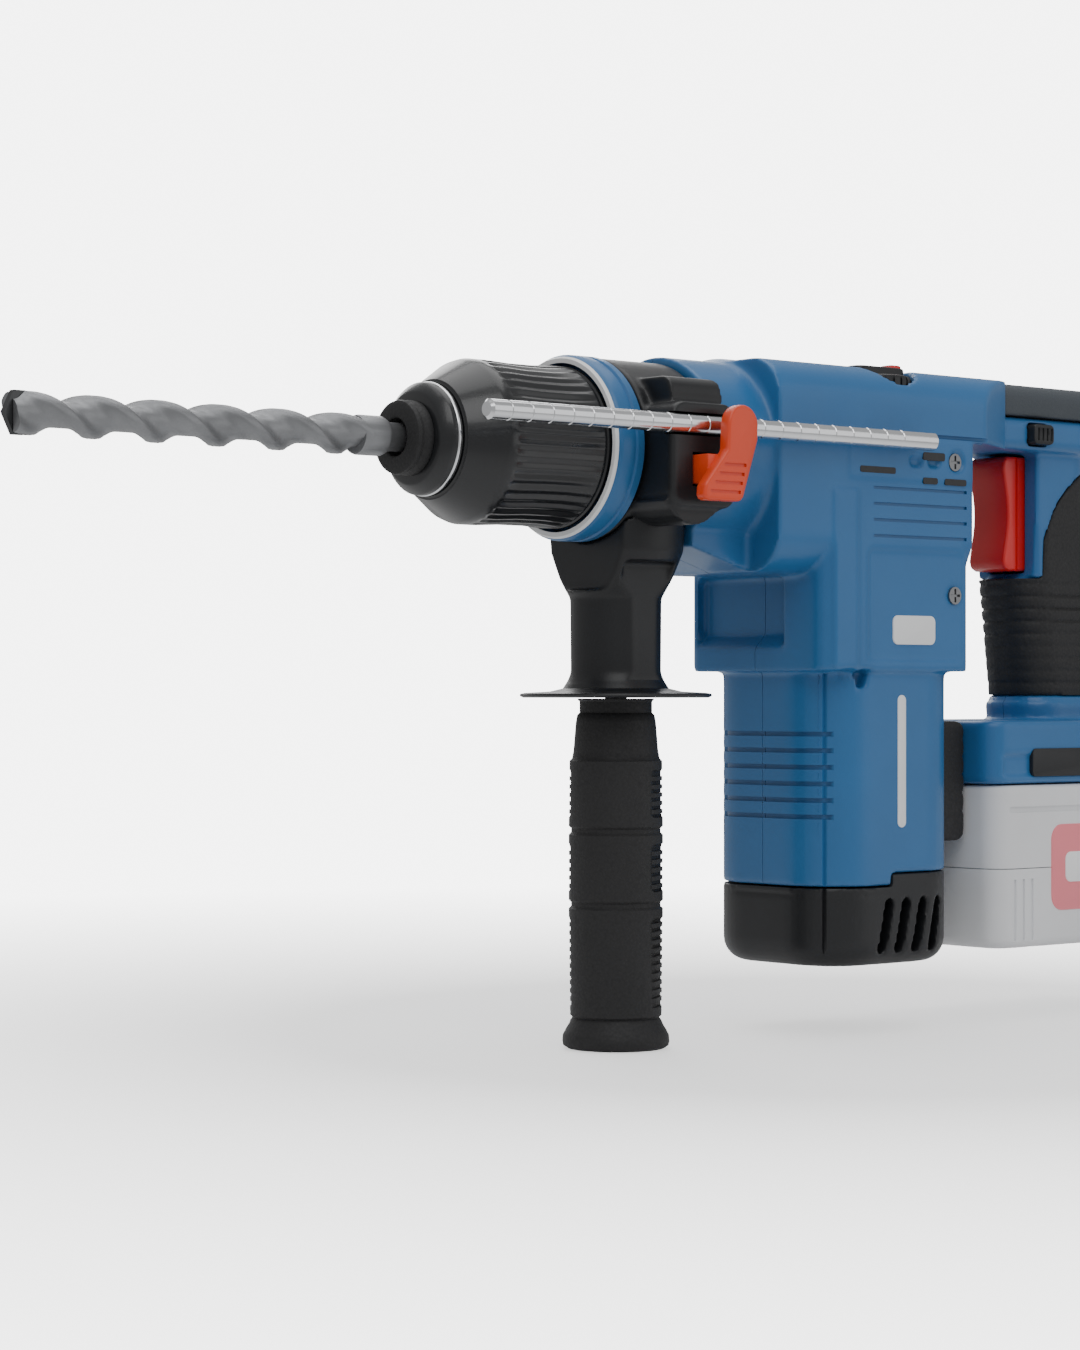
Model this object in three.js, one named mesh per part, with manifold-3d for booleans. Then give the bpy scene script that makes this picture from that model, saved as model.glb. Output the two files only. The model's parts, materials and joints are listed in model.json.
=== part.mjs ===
// Cordless rotary hammer with a standing motor: an assembly of separate pieces.
// Millimetres, +Z up. -X points to the bit, +X to the rear grip, -Y to the tool's left side.
// The origin is the centre of the flat underside of the motor end cap; the motor axis is x = 0, y = 0.

import * as THREE from 'three';
import { mergeVertices } from 'three/addons/utils/BufferGeometryUtils.js';
import Module from 'manifold-3d';

const wasm = await Module();
wasm.setup();

// ---- Driving dimensions ------------------------------------------------------------------

const GAP = 0.3; // between pieces that touch
const RUN = 0.3; // radial running clearance
const WALL = 3.2; // moulded shells
const ROUND = 24; // sides of a large round piece

// Axes of the mechanism
const SPINDLE_Z = 190.5;
const SHAFT_CENTRES = 28.5; // spindle to countershaft
const WOBBLE_X = -17;

// Motor column and its end cap
const COLUMN_HALF_X = 38;
const COLUMN_HALF_Y = 36;
const COLUMN_CORNER = 24;
const CAP_HEIGHT = 30;
const CAP_STEP = 5;
const CAP_STEP_X = -5;
const CAP_EDGE = 9;
const CAP_FLOOR = 3;
const VENT_COUNT = 4;
const VENT_PITCH = 9.5;
const VENT_WIDTH = 4;
const VENT_HEIGHT = 18;
const VENT_LEAN = 0.25; // radians

// Upper block over the column
const BLOCK_BOTTOM = 111;
const BLOCK_OVERHANG = 4; // past the column's front
const BLOCK_HALF_Y = 38;
const BLOCK_CORNER = 9;
const POCKET_DEPTH = 6;
const POCKET_LOW = 124;
const POCKET_HIGH = 146;
const POCKET_LEFT = -15;
const POCKET_RIGHT = 33;

// Gear housing along the spindle
const NOSE_RADIUS = 35.5;
const NOSE_LENGTH = 52; // past the block's front
const NOSE_ROUND_LENGTH = 30;
const GEARBOX_DEPTH = 43.5; // below the spindle axis
const SHOULDER = 15;
const TAIL_DEPTH = 27;
const TAIL_SHOULDER_X = 45;
const TAIL_REAR_X = 72;
const TAIL_HALF_Y = 24;

// Clamp seat and collar ring in front of the gear housing
const SEAT_RADIUS = 26.5;
const SEAT_BORE = 22.5;
const SEAT_LENGTH = 33;
const RING_RADIUS = 33.4;
const RING_LENGTH = 13;
const RING_BACK = 3;

// Chuck, spindle and bit
const SLEEVE_RADIUS = 29;
const SLEEVE_WALL = 3;
const SLEEVE_LENGTH = 59;
const SLEEVE_CONE = 13;
const SLEEVE_NOSE_RADIUS = 20.3;
const SLEEVE_TRAVEL = 7;
const CHUCK_RING_LENGTH = 7.5;
const CAP_NOSE_RADIUS = 13;
const CAP_NOSE_LENGTH = 7;
const TUBE_RADIUS = 14.6;
const TUBE_BORE = 12.5;
const HOLDER_RADIUS = 11;
const HOLDER_LENGTH = 36;
const CHAMBER_RADIUS = 9.2;
const CHAMBER_LENGTH = 40;
const SHANK_RADIUS = 5;
const SHANK_INSERTION = 48;
const BALL_RADIUS = 3.5;
const BIT_FLOAT = 9;
const BIT_RADIUS = 7;
const BIT_CORE = 4.3;
const BIT_REACH = 154; // beyond the dust cap
const BIT_PITCH = 48;
const PISTON_LENGTH = 64;
const STRIKER_LENGTH = 28;

// Gears: spur pair, then bevel pair
const SPUR_WHEEL_TEETH = 32;
const SPUR_PINION_TEETH = 8;
const SPUR_WIDTH = 7.5;
const BEVEL_WHEEL_TEETH = 24;
const BEVEL_PINION_TEETH = 8;
const BEVEL_MODULE = 1.7;
const BEVEL_FACE = 6;

// Motor
const STATOR_RADIUS = 31;
const STATOR_BORE = 15;
const STATOR_LOW = 46;
const STATOR_HEIGHT = 44;
const ROTOR_SHAFT_RADIUS = 4;
const BEARING_RADIUS = 11;
const BEARING_WIDTH = 7;
const FAN_RADIUS = 27;
const FAN_HEIGHT = 9;
const FAN_BLADES = 11;

// Rear handle
const ARM_HALF_Y = 22;
const ARM_LOW = 199;
const ARM_PAD_LOW = 213;
const GRIP_FRONT_X = 92;
const GRIP_DEPTH = 50;
const GRIP_HALF_Y = 17;
const GRIP_SLOPE = 0.13; // x per z: the grip's foot stands behind its top
const GRIP_MIDDLE_Z = 150;
const GRIP_CORNER = 15;
const TRIGGER_FRONT_X = 87;
const TRIGGER_DEPTH = 21;
const GRIP_STEP_X = 99; // the grip's front face behind the trigger
const PAD_REAR_X = 149;
const RUBBER = 2.5;
const FOOT_FRONT_X = 51;
const FOOT_LENGTH = 114;
const FOOT_HALF_Y = 37;
const FOOT_LOW = 67;
const FOOT_HIGH = 92;
const TRIGGER_HALF_Y = 9.5;
const TRIGGER_LOW = 152;
const TRIGGER_HIGH = 198;
const TRIGGER_TRAVEL = 7;

// Mode dial
const DIAL_X = 2;
const DIAL_Y = -20;
const DIAL_RADIUS = 14;
const DIAL_THICKNESS = 13;

// Battery
const BATTERY_LOW = 3;
const BATTERY_FRONT_X = 53;
const BATTERY_LENGTH = 118;
const BATTERY_HALF_Y = 37;
const BATTERY_SPLIT = 34;
const RAIL_HALF_Y = 20;
const RAIL_HEIGHT = 8;
const CELL_RADIUS = 9.2;
const CELL_LENGTH = 65;
const CELLS_IN_ROW = 5;

// Side handle
const NECK_RADIUS = 17;
const NECK_LOW = 104;
const GUARD_RADIUS = 35;
const GUARD_THICKNESS = 1.8;
const GRIP_TOP = 94.7;
const GRIP_BOTTOM = -26;
const GRIP_RADIUS = 17.2;
const TIE_BOLT_RADIUS = 4;
const ROD_RADIUS = 3.5;
const ROD_Y = -45;
const ROD_RISE = 6.9; // above the spindle axis
const ROD_FRONT_X = -209;
const ROD_LENGTH = 217;
const LEVER_THICKNESS = 5;
const LEVER_TRAVEL = 2.5;

// ---- Derived places ------------------------------------------------------------------------

const BLOCK_FRONT = -COLUMN_HALF_X - BLOCK_OVERHANG;
const NOSE_FRONT = BLOCK_FRONT - NOSE_LENGTH;
const SEAT_FRONT = NOSE_FRONT - SEAT_LENGTH;
const RING_FRONT = SEAT_FRONT - RING_LENGTH;
const HOUSING_TOP = SPINDLE_Z + NOSE_RADIUS;
const COUNTER_Z = SPINDLE_Z - SHAFT_CENTRES;
const SLEEVE_REAR = SEAT_FRONT - GAP - RING_BACK - SLEEVE_TRAVEL - 1.7;
const SLEEVE_FRONT = SLEEVE_REAR - SLEEVE_LENGTH;
const CHUCK_RING_FRONT = SLEEVE_FRONT - GAP - CHUCK_RING_LENGTH;
const DUST_CAP_FRONT = CHUCK_RING_FRONT - GAP - CAP_NOSE_LENGTH;
const HOLDER_FRONT = DUST_CAP_FRONT + 5;
const HOLDER_REAR = HOLDER_FRONT + HOLDER_LENGTH;
const BIT_INNER = DUST_CAP_FRONT + SHANK_INSERTION;
const CHAMBER_FRONT = BIT_INNER - 1;
const CHAMBER_REAR = CHAMBER_FRONT + CHAMBER_LENGTH;
const BIT_TIP = DUST_CAP_FRONT - BIT_REACH;
const BALL_X = HOLDER_FRONT + 18;
const WOBBLE_SWING = 12 * Math.PI / 180;
const PISTON_STROKE = SHAFT_CENTRES * WOBBLE_SWING; // each way from rest
const TUBE_REAR = WOBBLE_X - PISTON_STROKE - 8;
const SPUR_MODULE = SHAFT_CENTRES * 2 / (SPUR_WHEEL_TEETH + SPUR_PINION_TEETH);
const BEARER_WIDTH = 8;
const BEARER_REAR = TUBE_REAR - 4;
const SPUR_REAR = BEARER_REAR - BEARER_WIDTH - 2;
const SPUR_FRONT = SPUR_REAR - SPUR_WIDTH;
const SIDE_HANDLE_X = SEAT_FRONT + SEAT_LENGTH / 2 - 1.5;
const GRIP_REAR_X = GRIP_FRONT_X + GRIP_DEPTH;

// ---- Materials -----------------------------------------------------------------------------

function finish(color, roughness, metalness = 0) {
  return new THREE.MeshStandardMaterial({ color, roughness, metalness });
}
const BLUE = finish(0x2f6fa6, 0.4);
const BLACK = finish(0x1c1d1f, 0.55);
const RUBBER_BLACK = finish(0x1a1a1a, 0.85);
const RUBBER_GREY = finish(0x4a4f55, 0.8);
const RED = finish(0xd0190f, 0.35);
const ORANGE = finish(0xee5a35, 0.4);
const ALUMINIUM = finish(0xb8babd, 0.45, 1);
const STEEL = finish(0x9a9c9f, 0.35, 1);
const DARK_STEEL = finish(0x55585c, 0.4, 1);
const CHROME = finish(0xe8e8ea, 0.12, 1);
const COPPER = finish(0xb06a35, 0.4, 1);
const BOARD_GREEN = finish(0x1f6b3a, 0.6);
const PACK_GREY = finish(0xb9bbbd, 0.5);
const CELL_TEAL = finish(0x2f8f8a, 0.5);

// ---- Shape helpers -------------------------------------------------------------------------

function toSolid(geometry) {
  geometry.deleteAttribute('normal');
  geometry.deleteAttribute('uv');
  const merged = mergeVertices(geometry, 1e-4);
  const corners = Array.from(merged.index.array);
  const kept = [];
  for (let i = 0; i < corners.length; i += 3) {
    const [a, b, c] = corners.slice(i, i + 3);
    if (a !== b && b !== c && c !== a) kept.push(a, b, c);
  }
  const vertProperties = new Float32Array(merged.attributes.position.array);
  const triVerts = new Uint32Array(kept);
  return new wasm.Manifold(new wasm.Mesh({ numProp: 3, vertProperties, triVerts }));
}

function piece(name, solid, material) {
  const mesh = solid.getMesh();
  const geometry = new THREE.BufferGeometry();
  geometry.setAttribute('position', new THREE.BufferAttribute(mesh.vertProperties, 3));
  geometry.setIndex(new THREE.BufferAttribute(mesh.triVerts, 1));
  const result = new THREE.Mesh(geometry.toNonIndexed(), material);
  result.geometry.computeVertexNormals();
  result.name = name;
  return result;
}

function join(first, ...others) {
  return others.reduce((whole, other) => whole.add(other), first);
}

function cut(first, ...others) {
  return others.reduce((whole, other) => whole.subtract(other), first);
}

// Lathe about one axis: the profile's points are [radius, place along the axis].
function turned(profile, axis = 'x', sides = ROUND) {
  const points = profile.map(([radius, along]) => new THREE.Vector2(radius, along));
  const geometry = new THREE.LatheGeometry(points, sides);
  if (axis === 'x') geometry.rotateZ(-Math.PI / 2);
  if (axis === 'z') geometry.rotateX(Math.PI / 2);
  return toSolid(geometry);
}

function ring(from, to, outer, inner = 0, axis = 'x', sides = ROUND) {
  const profile = [[inner, from], [outer, from], [outer, to], [inner, to]];
  if (inner > 0) profile.push([inner, from]);
  return turned(profile, axis, sides);
}

// Extrude a flat shape along one axis. The shape's plane is (y, z), (x, z) or (x, y).
function prism(shape, from, to, axis) {
  const settings = { depth: to - from, bevelEnabled: false, curveSegments: 2 };
  const geometry = new THREE.ExtrudeGeometry(shape, settings);
  if (axis === 'x') geometry.rotateX(Math.PI / 2).rotateZ(Math.PI / 2).translate(from, 0, 0);
  if (axis === 'y') geometry.rotateX(Math.PI / 2).translate(0, to, 0);
  if (axis === 'z') geometry.translate(0, 0, from);
  return toSolid(geometry);
}

function block(x0, x1, y0, y1, z0, z1) {
  const geometry = new THREE.BoxGeometry(x1 - x0, y1 - y0, z1 - z0);
  return toSolid(geometry.translate((x0 + x1) / 2, (y0 + y1) / 2, (z0 + z1) / 2));
}

function roundedRect(u0, u1, v0, v1, corner) {
  const r = Math.min(corner, (u1 - u0) / 2 - 0.01, (v1 - v0) / 2 - 0.01);
  const shape = new THREE.Shape();
  shape.absarc(u1 - r, v0 + r, r, -Math.PI / 2, 0);
  shape.absarc(u1 - r, v1 - r, r, 0, Math.PI / 2);
  shape.absarc(u0 + r, v1 - r, r, Math.PI / 2, Math.PI);
  shape.absarc(u0 + r, v0 + r, r, Math.PI, 1.5 * Math.PI);
  return shape;
}

function polygon(points) {
  return new THREE.Shape(points.map(([u, v]) => new THREE.Vector2(u, v)));
}

// Gear outline with slim teeth, so that a meshed pair keeps some backlash.
function gearOutline(teeth, root, tip, phase = 0, rootShare = 0.3, tipShare = 0.13) {
  const points = [];
  const pitch = 2 * Math.PI / teeth;
  for (let i = 0; i < teeth; i += 1) {
    const middle = phase + i * pitch;
    const corners = [[-rootShare, root], [-tipShare, tip], [tipShare, tip], [rootShare, root]];
    for (const [share, radius] of corners) {
      const angle = middle + share * pitch;
      points.push([radius * Math.cos(angle), radius * Math.sin(angle)]);
    }
  }
  return polygon(points);
}

function coil(from, to, radius, wire, turns) {
  const points = [];
  const stepsPerTurn = 7;
  const steps = turns * stepsPerTurn;
  for (let i = 0; i <= steps; i += 1) {
    const angle = i / stepsPerTurn * 2 * Math.PI;
    const along = from + wire + (to - from - 2 * wire) * i / steps;
    points.push(new THREE.Vector3(along, radius * Math.cos(angle), radius * Math.sin(angle)));
  }
  const section = new THREE.Shape();
  section.absarc(0, 0, wire, 0, 2 * Math.PI);
  const extrudePath = new THREE.CatmullRomCurve3(points);
  const settings = { steps, extrudePath, bevelEnabled: false, curveSegments: 3 };
  return toSolid(new THREE.ExtrudeGeometry(section, settings));
}

// ---- Motor and gear housing ------------------------------------------------------------------

// The housing's outer form, or with an inset the hollow inside its wall.
function housingForm(inset) {
  const reach = inset > 0 ? WALL * 3 : 0; // the hollow runs out through the open ends
  const halfX = COLUMN_HALF_X - inset;
  const halfY = COLUMN_HALF_Y - inset;
  const column = roundedRect(-halfX, halfX, -halfY, halfY, COLUMN_CORNER - inset);
  const blockY = BLOCK_HALF_Y - inset;
  const blockPlan = roundedRect(BLOCK_FRONT + inset, halfX, -blockY, blockY, BLOCK_CORNER - inset);
  const low = SPINDLE_Z - GEARBOX_DEPTH + inset;
  const top = HOUSING_TOP - inset;
  const gearSection = roundedRect(-blockY, blockY, low, top, SHOULDER - inset);
  const gearFront = NOSE_FRONT + NOSE_ROUND_LENGTH + inset;
  const chin = polygon([
    [NOSE_FRONT + inset, SPINDLE_Z - NOSE_RADIUS + inset],
    [gearFront + 1, low],
    [gearFront + 1, SPINDLE_Z],
    [NOSE_FRONT + inset, SPINDLE_Z],
  ]);
  const chinY = NOSE_RADIUS * 0.55 - inset;
  const tailY = TAIL_HALF_Y - inset;
  const tail = polygon([
    [0, -blockY],
    [TAIL_SHOULDER_X, -blockY],
    [TAIL_REAR_X + reach, -tailY],
    [TAIL_REAR_X + reach, tailY],
    [TAIL_SHOULDER_X, blockY],
    [0, blockY],
  ]);
  const nose = ring(NOSE_FRONT - reach, gearFront + 5, NOSE_RADIUS - inset);
  const crown = roundedRect(-blockY, blockY, top - TAIL_DEPTH * 2, top, SHOULDER - inset);
  const tailSolid = prism(tail, top - TAIL_DEPTH + inset * 2, top, 'z');
  return join(
    prism(column, CAP_HEIGHT - reach, BLOCK_BOTTOM + 20, 'z'),
    prism(blockPlan, BLOCK_BOTTOM + inset, SPINDLE_Z, 'z'),
    prism(gearSection, gearFront, halfX, 'x'),
    prism(chin, -chinY, chinY, 'y'),
    nose.translate(0, 0, SPINDLE_Z),
    tailSolid.intersect(prism(crown, 0, TAIL_REAR_X + reach, 'x')),
  );
}

function housingShell() {
  const front = BLOCK_FRONT;
  const inFront = front + POCKET_DEPTH;
  const backing = block(
    front, inFront + WALL, POCKET_LEFT - WALL, POCKET_RIGHT + WALL, POCKET_LOW - WALL, POCKET_HIGH + WALL,
  );
  const pocket = block(front - 1, inFront, POCKET_LEFT, POCKET_RIGHT, POCKET_LOW, POCKET_HIGH);
  const step = block(
    CAP_STEP_X, COLUMN_HALF_X + 1, -50, 50, CAP_HEIGHT - 1, CAP_HEIGHT + CAP_STEP,
  );
  const dialWell = ring(
    HOUSING_TOP - DIAL_THICKNESS - GAP, HOUSING_TOP + 5, DIAL_RADIUS + RUN, 0, 'z',
  ).translate(DIAL_X, DIAL_Y, 0);
  return cut(housingForm(0), cut(housingForm(WALL), backing), pocket, step, dialWell);
}

const SCREW_PLACES = [[28, SPINDLE_Z + 0.5], [28, 140]]; // x, z on the left side

function screwForm(grow) {
  const head = ring(-BLOCK_HALF_Y + 0.4 - grow * 5, -BLOCK_HALF_Y + 2.1 + grow, 3.4 + grow, 0, 'y', 14);
  const shank = ring(-BLOCK_HALF_Y + 2, -14, 1.6 + grow, 0, 'y', 10);
  return join(head, shank);
}

function housingScrews() {
  return SCREW_PLACES.map(([x, z], i) => {
    const slot = block(-2.6, 2.6, -60, -BLOCK_HALF_Y + 1.2, -0.5, 0.5);
    const screw = piece(`housing_screw_${i + 1}`, cut(screwForm(0), slot, slot.rotate([0, 90, 0])), STEEL);
    screw.position.set(x, 0, z);
    return screw;
  });
}

function housingHalves() {
  const shell = housingShell();
  const seam = GAP / 2;
  const holes = SCREW_PLACES.map(([x, z]) => screwForm(GAP).translate(x, 0, z));
  const left = cut(shell, block(-300, 300, -seam, 100, -10, 300), ...holes);
  const right = cut(shell, block(-300, 300, -100, seam, -10, 300));
  return [piece('left_housing', left, BLUE), piece('right_housing', right, BLUE)];
}

function motorEndCap() {
  const form = (inset, low, edge) => {
    const halfX = COLUMN_HALF_X - inset;
    const halfY = COLUMN_HALF_Y - inset;
    const plan = roundedRect(-halfX, halfX, -halfY, halfY, COLUMN_CORNER - inset);
    const shrunk = (by) => roundedRect(
      -halfX + by, halfX - by, -halfY + by, halfY - by, COLUMN_CORNER - inset - by,
    );
    const foot = shrunk(edge);
    const middle = shrunk(edge * 0.3);
    return join(
      prism(plan, low + edge, CAP_HEIGHT + CAP_STEP, 'z'),
      prism(middle, low + edge * 0.3, low + edge + 0.01, 'z'),
      prism(foot, low, low + edge * 0.3 + 0.01, 'z'),
    );
  };
  const aboveStep = block(-60, CAP_STEP_X + GAP, -50, 50, CAP_HEIGHT - GAP, CAP_HEIGHT + CAP_STEP + 1);
  const rim = block(-60, 60, -50, 50, CAP_HEIGHT + CAP_STEP - GAP, CAP_HEIGHT + CAP_STEP + 1);
  const seat = ring(CAP_FLOOR, CAP_FLOOR + 14, BEARING_RADIUS + 4, BEARING_RADIUS + RUN, 'z', 24);
  const shell = join(cut(form(0, 0, CAP_EDGE), form(WALL, CAP_FLOOR, CAP_EDGE - WALL)), seat);
  const slots = [];
  for (let i = 0; i < VENT_COUNT; i += 1) {
    const slot = block(-VENT_WIDTH / 2, VENT_WIDTH / 2, -50, 50, -VENT_HEIGHT / 2, VENT_HEIGHT / 2);
    const solid = slot.rotate([0, VENT_LEAN * 180 / Math.PI, 0]);
    slots.push(solid.translate(i * VENT_PITCH + 1, 0, 15));
  }
  const core = block(-60, 60, -BEARING_RADIUS - 6, BEARING_RADIUS + 6, -1, 60);
  const cleared = slots.map((slot) => cut(slot, core));
  return piece('motor_end_cap', cut(shell, aboveStep, rim, ...cleared), BLACK);
}

function gearCase() {
  const flange = NOSE_RADIUS - WALL - GAP;
  const barrel = flange - 1;
  const barrelBore = barrel - 2.6;
  const rear = SPUR_FRONT - 4;
  const solid = turned([
    [SEAT_BORE, SEAT_FRONT],
    [SEAT_RADIUS, SEAT_FRONT],
    [SEAT_RADIUS, NOSE_FRONT + GAP],
    [flange, NOSE_FRONT + GAP],
    [flange, NOSE_FRONT + 8],
    [barrel, NOSE_FRONT + 8],
    [barrel, rear],
    [barrelBore, rear],
    [barrelBore, NOSE_FRONT + 8],
    [SEAT_BORE, NOSE_FRONT + 4],
    [SEAT_BORE, SEAT_FRONT],
  ]);
  return piece('gear_case', solid, ALUMINIUM);
}

function collarRing() {
  const back = SEAT_FRONT - GAP;
  const hollow = SLEEVE_RADIUS + 1.2;
  const solid = turned([
    [TUBE_RADIUS + 1.9, back - RING_BACK],
    [hollow, back - RING_BACK],
    [hollow, RING_FRONT],
    [RING_RADIUS - 1.4, RING_FRONT],
    [RING_RADIUS, RING_FRONT + 1.5],
    [RING_RADIUS, back],
    [TUBE_RADIUS + 1.9, back],
    [TUBE_RADIUS + 1.9, back - RING_BACK],
  ]);
  return piece('collar_ring', solid, BLUE);
}

function bearingBulkhead() {
  const top = NOSE_RADIUS - WALL - 1.5;
  const halfY = BLOCK_HALF_Y - WALL - 1.5;
  const plate = roundedRect(-halfY, halfY, -GEARBOX_DEPTH + WALL + 1.5, top, SHOULDER - WALL);
  const rear = BEARER_REAR;
  const spindleHole = ring(rear - 20, rear + 5, TUBE_RADIUS + 3.2);
  const shaftHole = ring(rear - 20, rear + 5, 9 + RUN).translate(0, 0, -SHAFT_CENTRES);
  const solid = cut(prism(plate, rear - BEARER_WIDTH, rear, 'x'), spindleHole, shaftHole);
  return piece('bearing_bulkhead', solid, ALUMINIUM);
}

// ---- Spindle line: built about the x axis, placed at the spindle's height --------------------

function spindleBearings() {
  const front = ring(SEAT_FRONT + 6, SEAT_FRONT + 18, SEAT_BORE - GAP, TUBE_RADIUS + RUN, 'x', 24);
  const seal = ring(SEAT_FRONT + 1, SEAT_FRONT + 4.5, SEAT_BORE - GAP, TUBE_RADIUS + RUN, 'x', 24);
  const bush = ring(
    BEARER_REAR - BEARER_WIDTH, BEARER_REAR, TUBE_RADIUS + 3.2 - GAP, TUBE_RADIUS + RUN, 'x', 24,
  );
  return [
    piece('spindle_front_bearing', front, STEEL),
    piece('nose_seal', seal, RUBBER_BLACK),
    piece('spindle_rear_bush', bush, STEEL),
  ];
}

function spindle() {
  const shelf = HOLDER_REAR + 2;
  const tube = turned([
    [SHANK_RADIUS + 0.2, HOLDER_FRONT],
    [HOLDER_RADIUS, HOLDER_FRONT],
    [HOLDER_RADIUS, HOLDER_REAR],
    [TUBE_RADIUS + 2.6, HOLDER_REAR],
    [TUBE_RADIUS + 2.6, shelf],
    [TUBE_RADIUS, shelf],
    [TUBE_RADIUS, TUBE_REAR],
    [TUBE_BORE, TUBE_REAR],
    [TUBE_BORE, CHAMBER_REAR],
    [CHAMBER_RADIUS, CHAMBER_REAR],
    [CHAMBER_RADIUS, CHAMBER_FRONT],
    [SHANK_RADIUS + 0.2, CHAMBER_FRONT],
    [SHANK_RADIUS + 0.2, HOLDER_FRONT],
  ], 'x', 24);
  const ballHole = ring(-HOLDER_RADIUS - 1, HOLDER_RADIUS + 1, BALL_RADIUS + 0.15, 0, 'y', 12);
  return piece('spindle', cut(tube, ballHole.translate(BALL_X, 0, 0)), STEEL);
}

function lockingBalls() {
  const settings = [['locking_ball_left', -1], ['locking_ball_right', 1]];
  return settings.map(([name, side]) => {
    const ball = new THREE.SphereGeometry(BALL_RADIUS, 12, 8);
    const mesh = piece(name, toSolid(ball), CHROME);
    mesh.position.set(BALL_X, side * (SHANK_RADIUS - 1.9 + BALL_RADIUS + 0.1), 0);
    return mesh;
  });
}

function spindleGear() {
  const pitchRadius = SPUR_MODULE * SPUR_WHEEL_TEETH / 2;
  const phase = -Math.PI / 2 + Math.PI / SPUR_WHEEL_TEETH; // a gap points down at the pinion
  const outline = gearOutline(
    SPUR_WHEEL_TEETH, pitchRadius - SPUR_MODULE * 1.2, pitchRadius + SPUR_MODULE * 0.8, phase,
  );
  const bore = ring(SPUR_FRONT - 1, SPUR_REAR + 1, TUBE_RADIUS + GAP, 0, 'x', 24);
  return piece('spindle_gear', cut(prism(outline, SPUR_FRONT, SPUR_REAR, 'x'), bore), STEEL);
}

function clutchSpring() {
  const spring = coil(SPUR_FRONT - GAP - 12, SPUR_FRONT - GAP, TUBE_RADIUS + 3.6, 1.3, 3);
  return piece('clutch_spring', spring, STEEL);
}

function chuckRing() {
  const rear = CHUCK_RING_FRONT + CHUCK_RING_LENGTH;
  const solid = turned([
    [HOLDER_RADIUS + GAP, CHUCK_RING_FRONT],
    [CAP_NOSE_RADIUS + 3.5, CHUCK_RING_FRONT],
    [SLEEVE_NOSE_RADIUS - 0.6, CHUCK_RING_FRONT + 3],
    [SLEEVE_NOSE_RADIUS - 0.3, rear],
    [HOLDER_RADIUS + GAP, rear],
    [HOLDER_RADIUS + GAP, CHUCK_RING_FRONT],
  ]);
  return piece('chuck_ring', solid, CHROME);
}

function dustCap() {
  const rear = DUST_CAP_FRONT + CAP_NOSE_LENGTH;
  const lip = SHANK_RADIUS + 1.6;
  const solid = turned([
    [lip, DUST_CAP_FRONT],
    [CAP_NOSE_RADIUS - 1.2, DUST_CAP_FRONT],
    [CAP_NOSE_RADIUS, DUST_CAP_FRONT + 1.5],
    [CAP_NOSE_RADIUS, rear],
    [HOLDER_RADIUS + GAP, rear],
    [HOLDER_RADIUS + GAP, HOLDER_FRONT - GAP],
    [lip, HOLDER_FRONT - GAP],
    [lip, DUST_CAP_FRONT],
  ]);
  return piece('dust_cap', solid, RUBBER_BLACK);
}

function chuckSleeve() {
  const coneRear = SLEEVE_FRONT + SLEEVE_CONE;
  const bore = HOLDER_RADIUS + 0.4;
  const hollow = SLEEVE_RADIUS - SLEEVE_WALL;
  const shelf = SLEEVE_FRONT + 10;
  const solid = turned([
    [bore, SLEEVE_FRONT],
    [SLEEVE_NOSE_RADIUS, SLEEVE_FRONT],
    [SLEEVE_RADIUS, coneRear],
    [SLEEVE_RADIUS, SLEEVE_REAR],
    [hollow, SLEEVE_REAR],
    [hollow, coneRear + 3],
    [bore + 7.5, shelf],
    [bore, shelf],
    [bore, SLEEVE_FRONT],
  ]);
  return piece('chuck_sleeve', solid, BLACK);
}

function sleeveSpring() {
  const spring = coil(SLEEVE_FRONT + 10 + GAP, HOLDER_REAR - GAP, HOLDER_RADIUS + 3, 0.9, 3);
  return piece('sleeve_spring', spring, STEEL);
}

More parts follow.
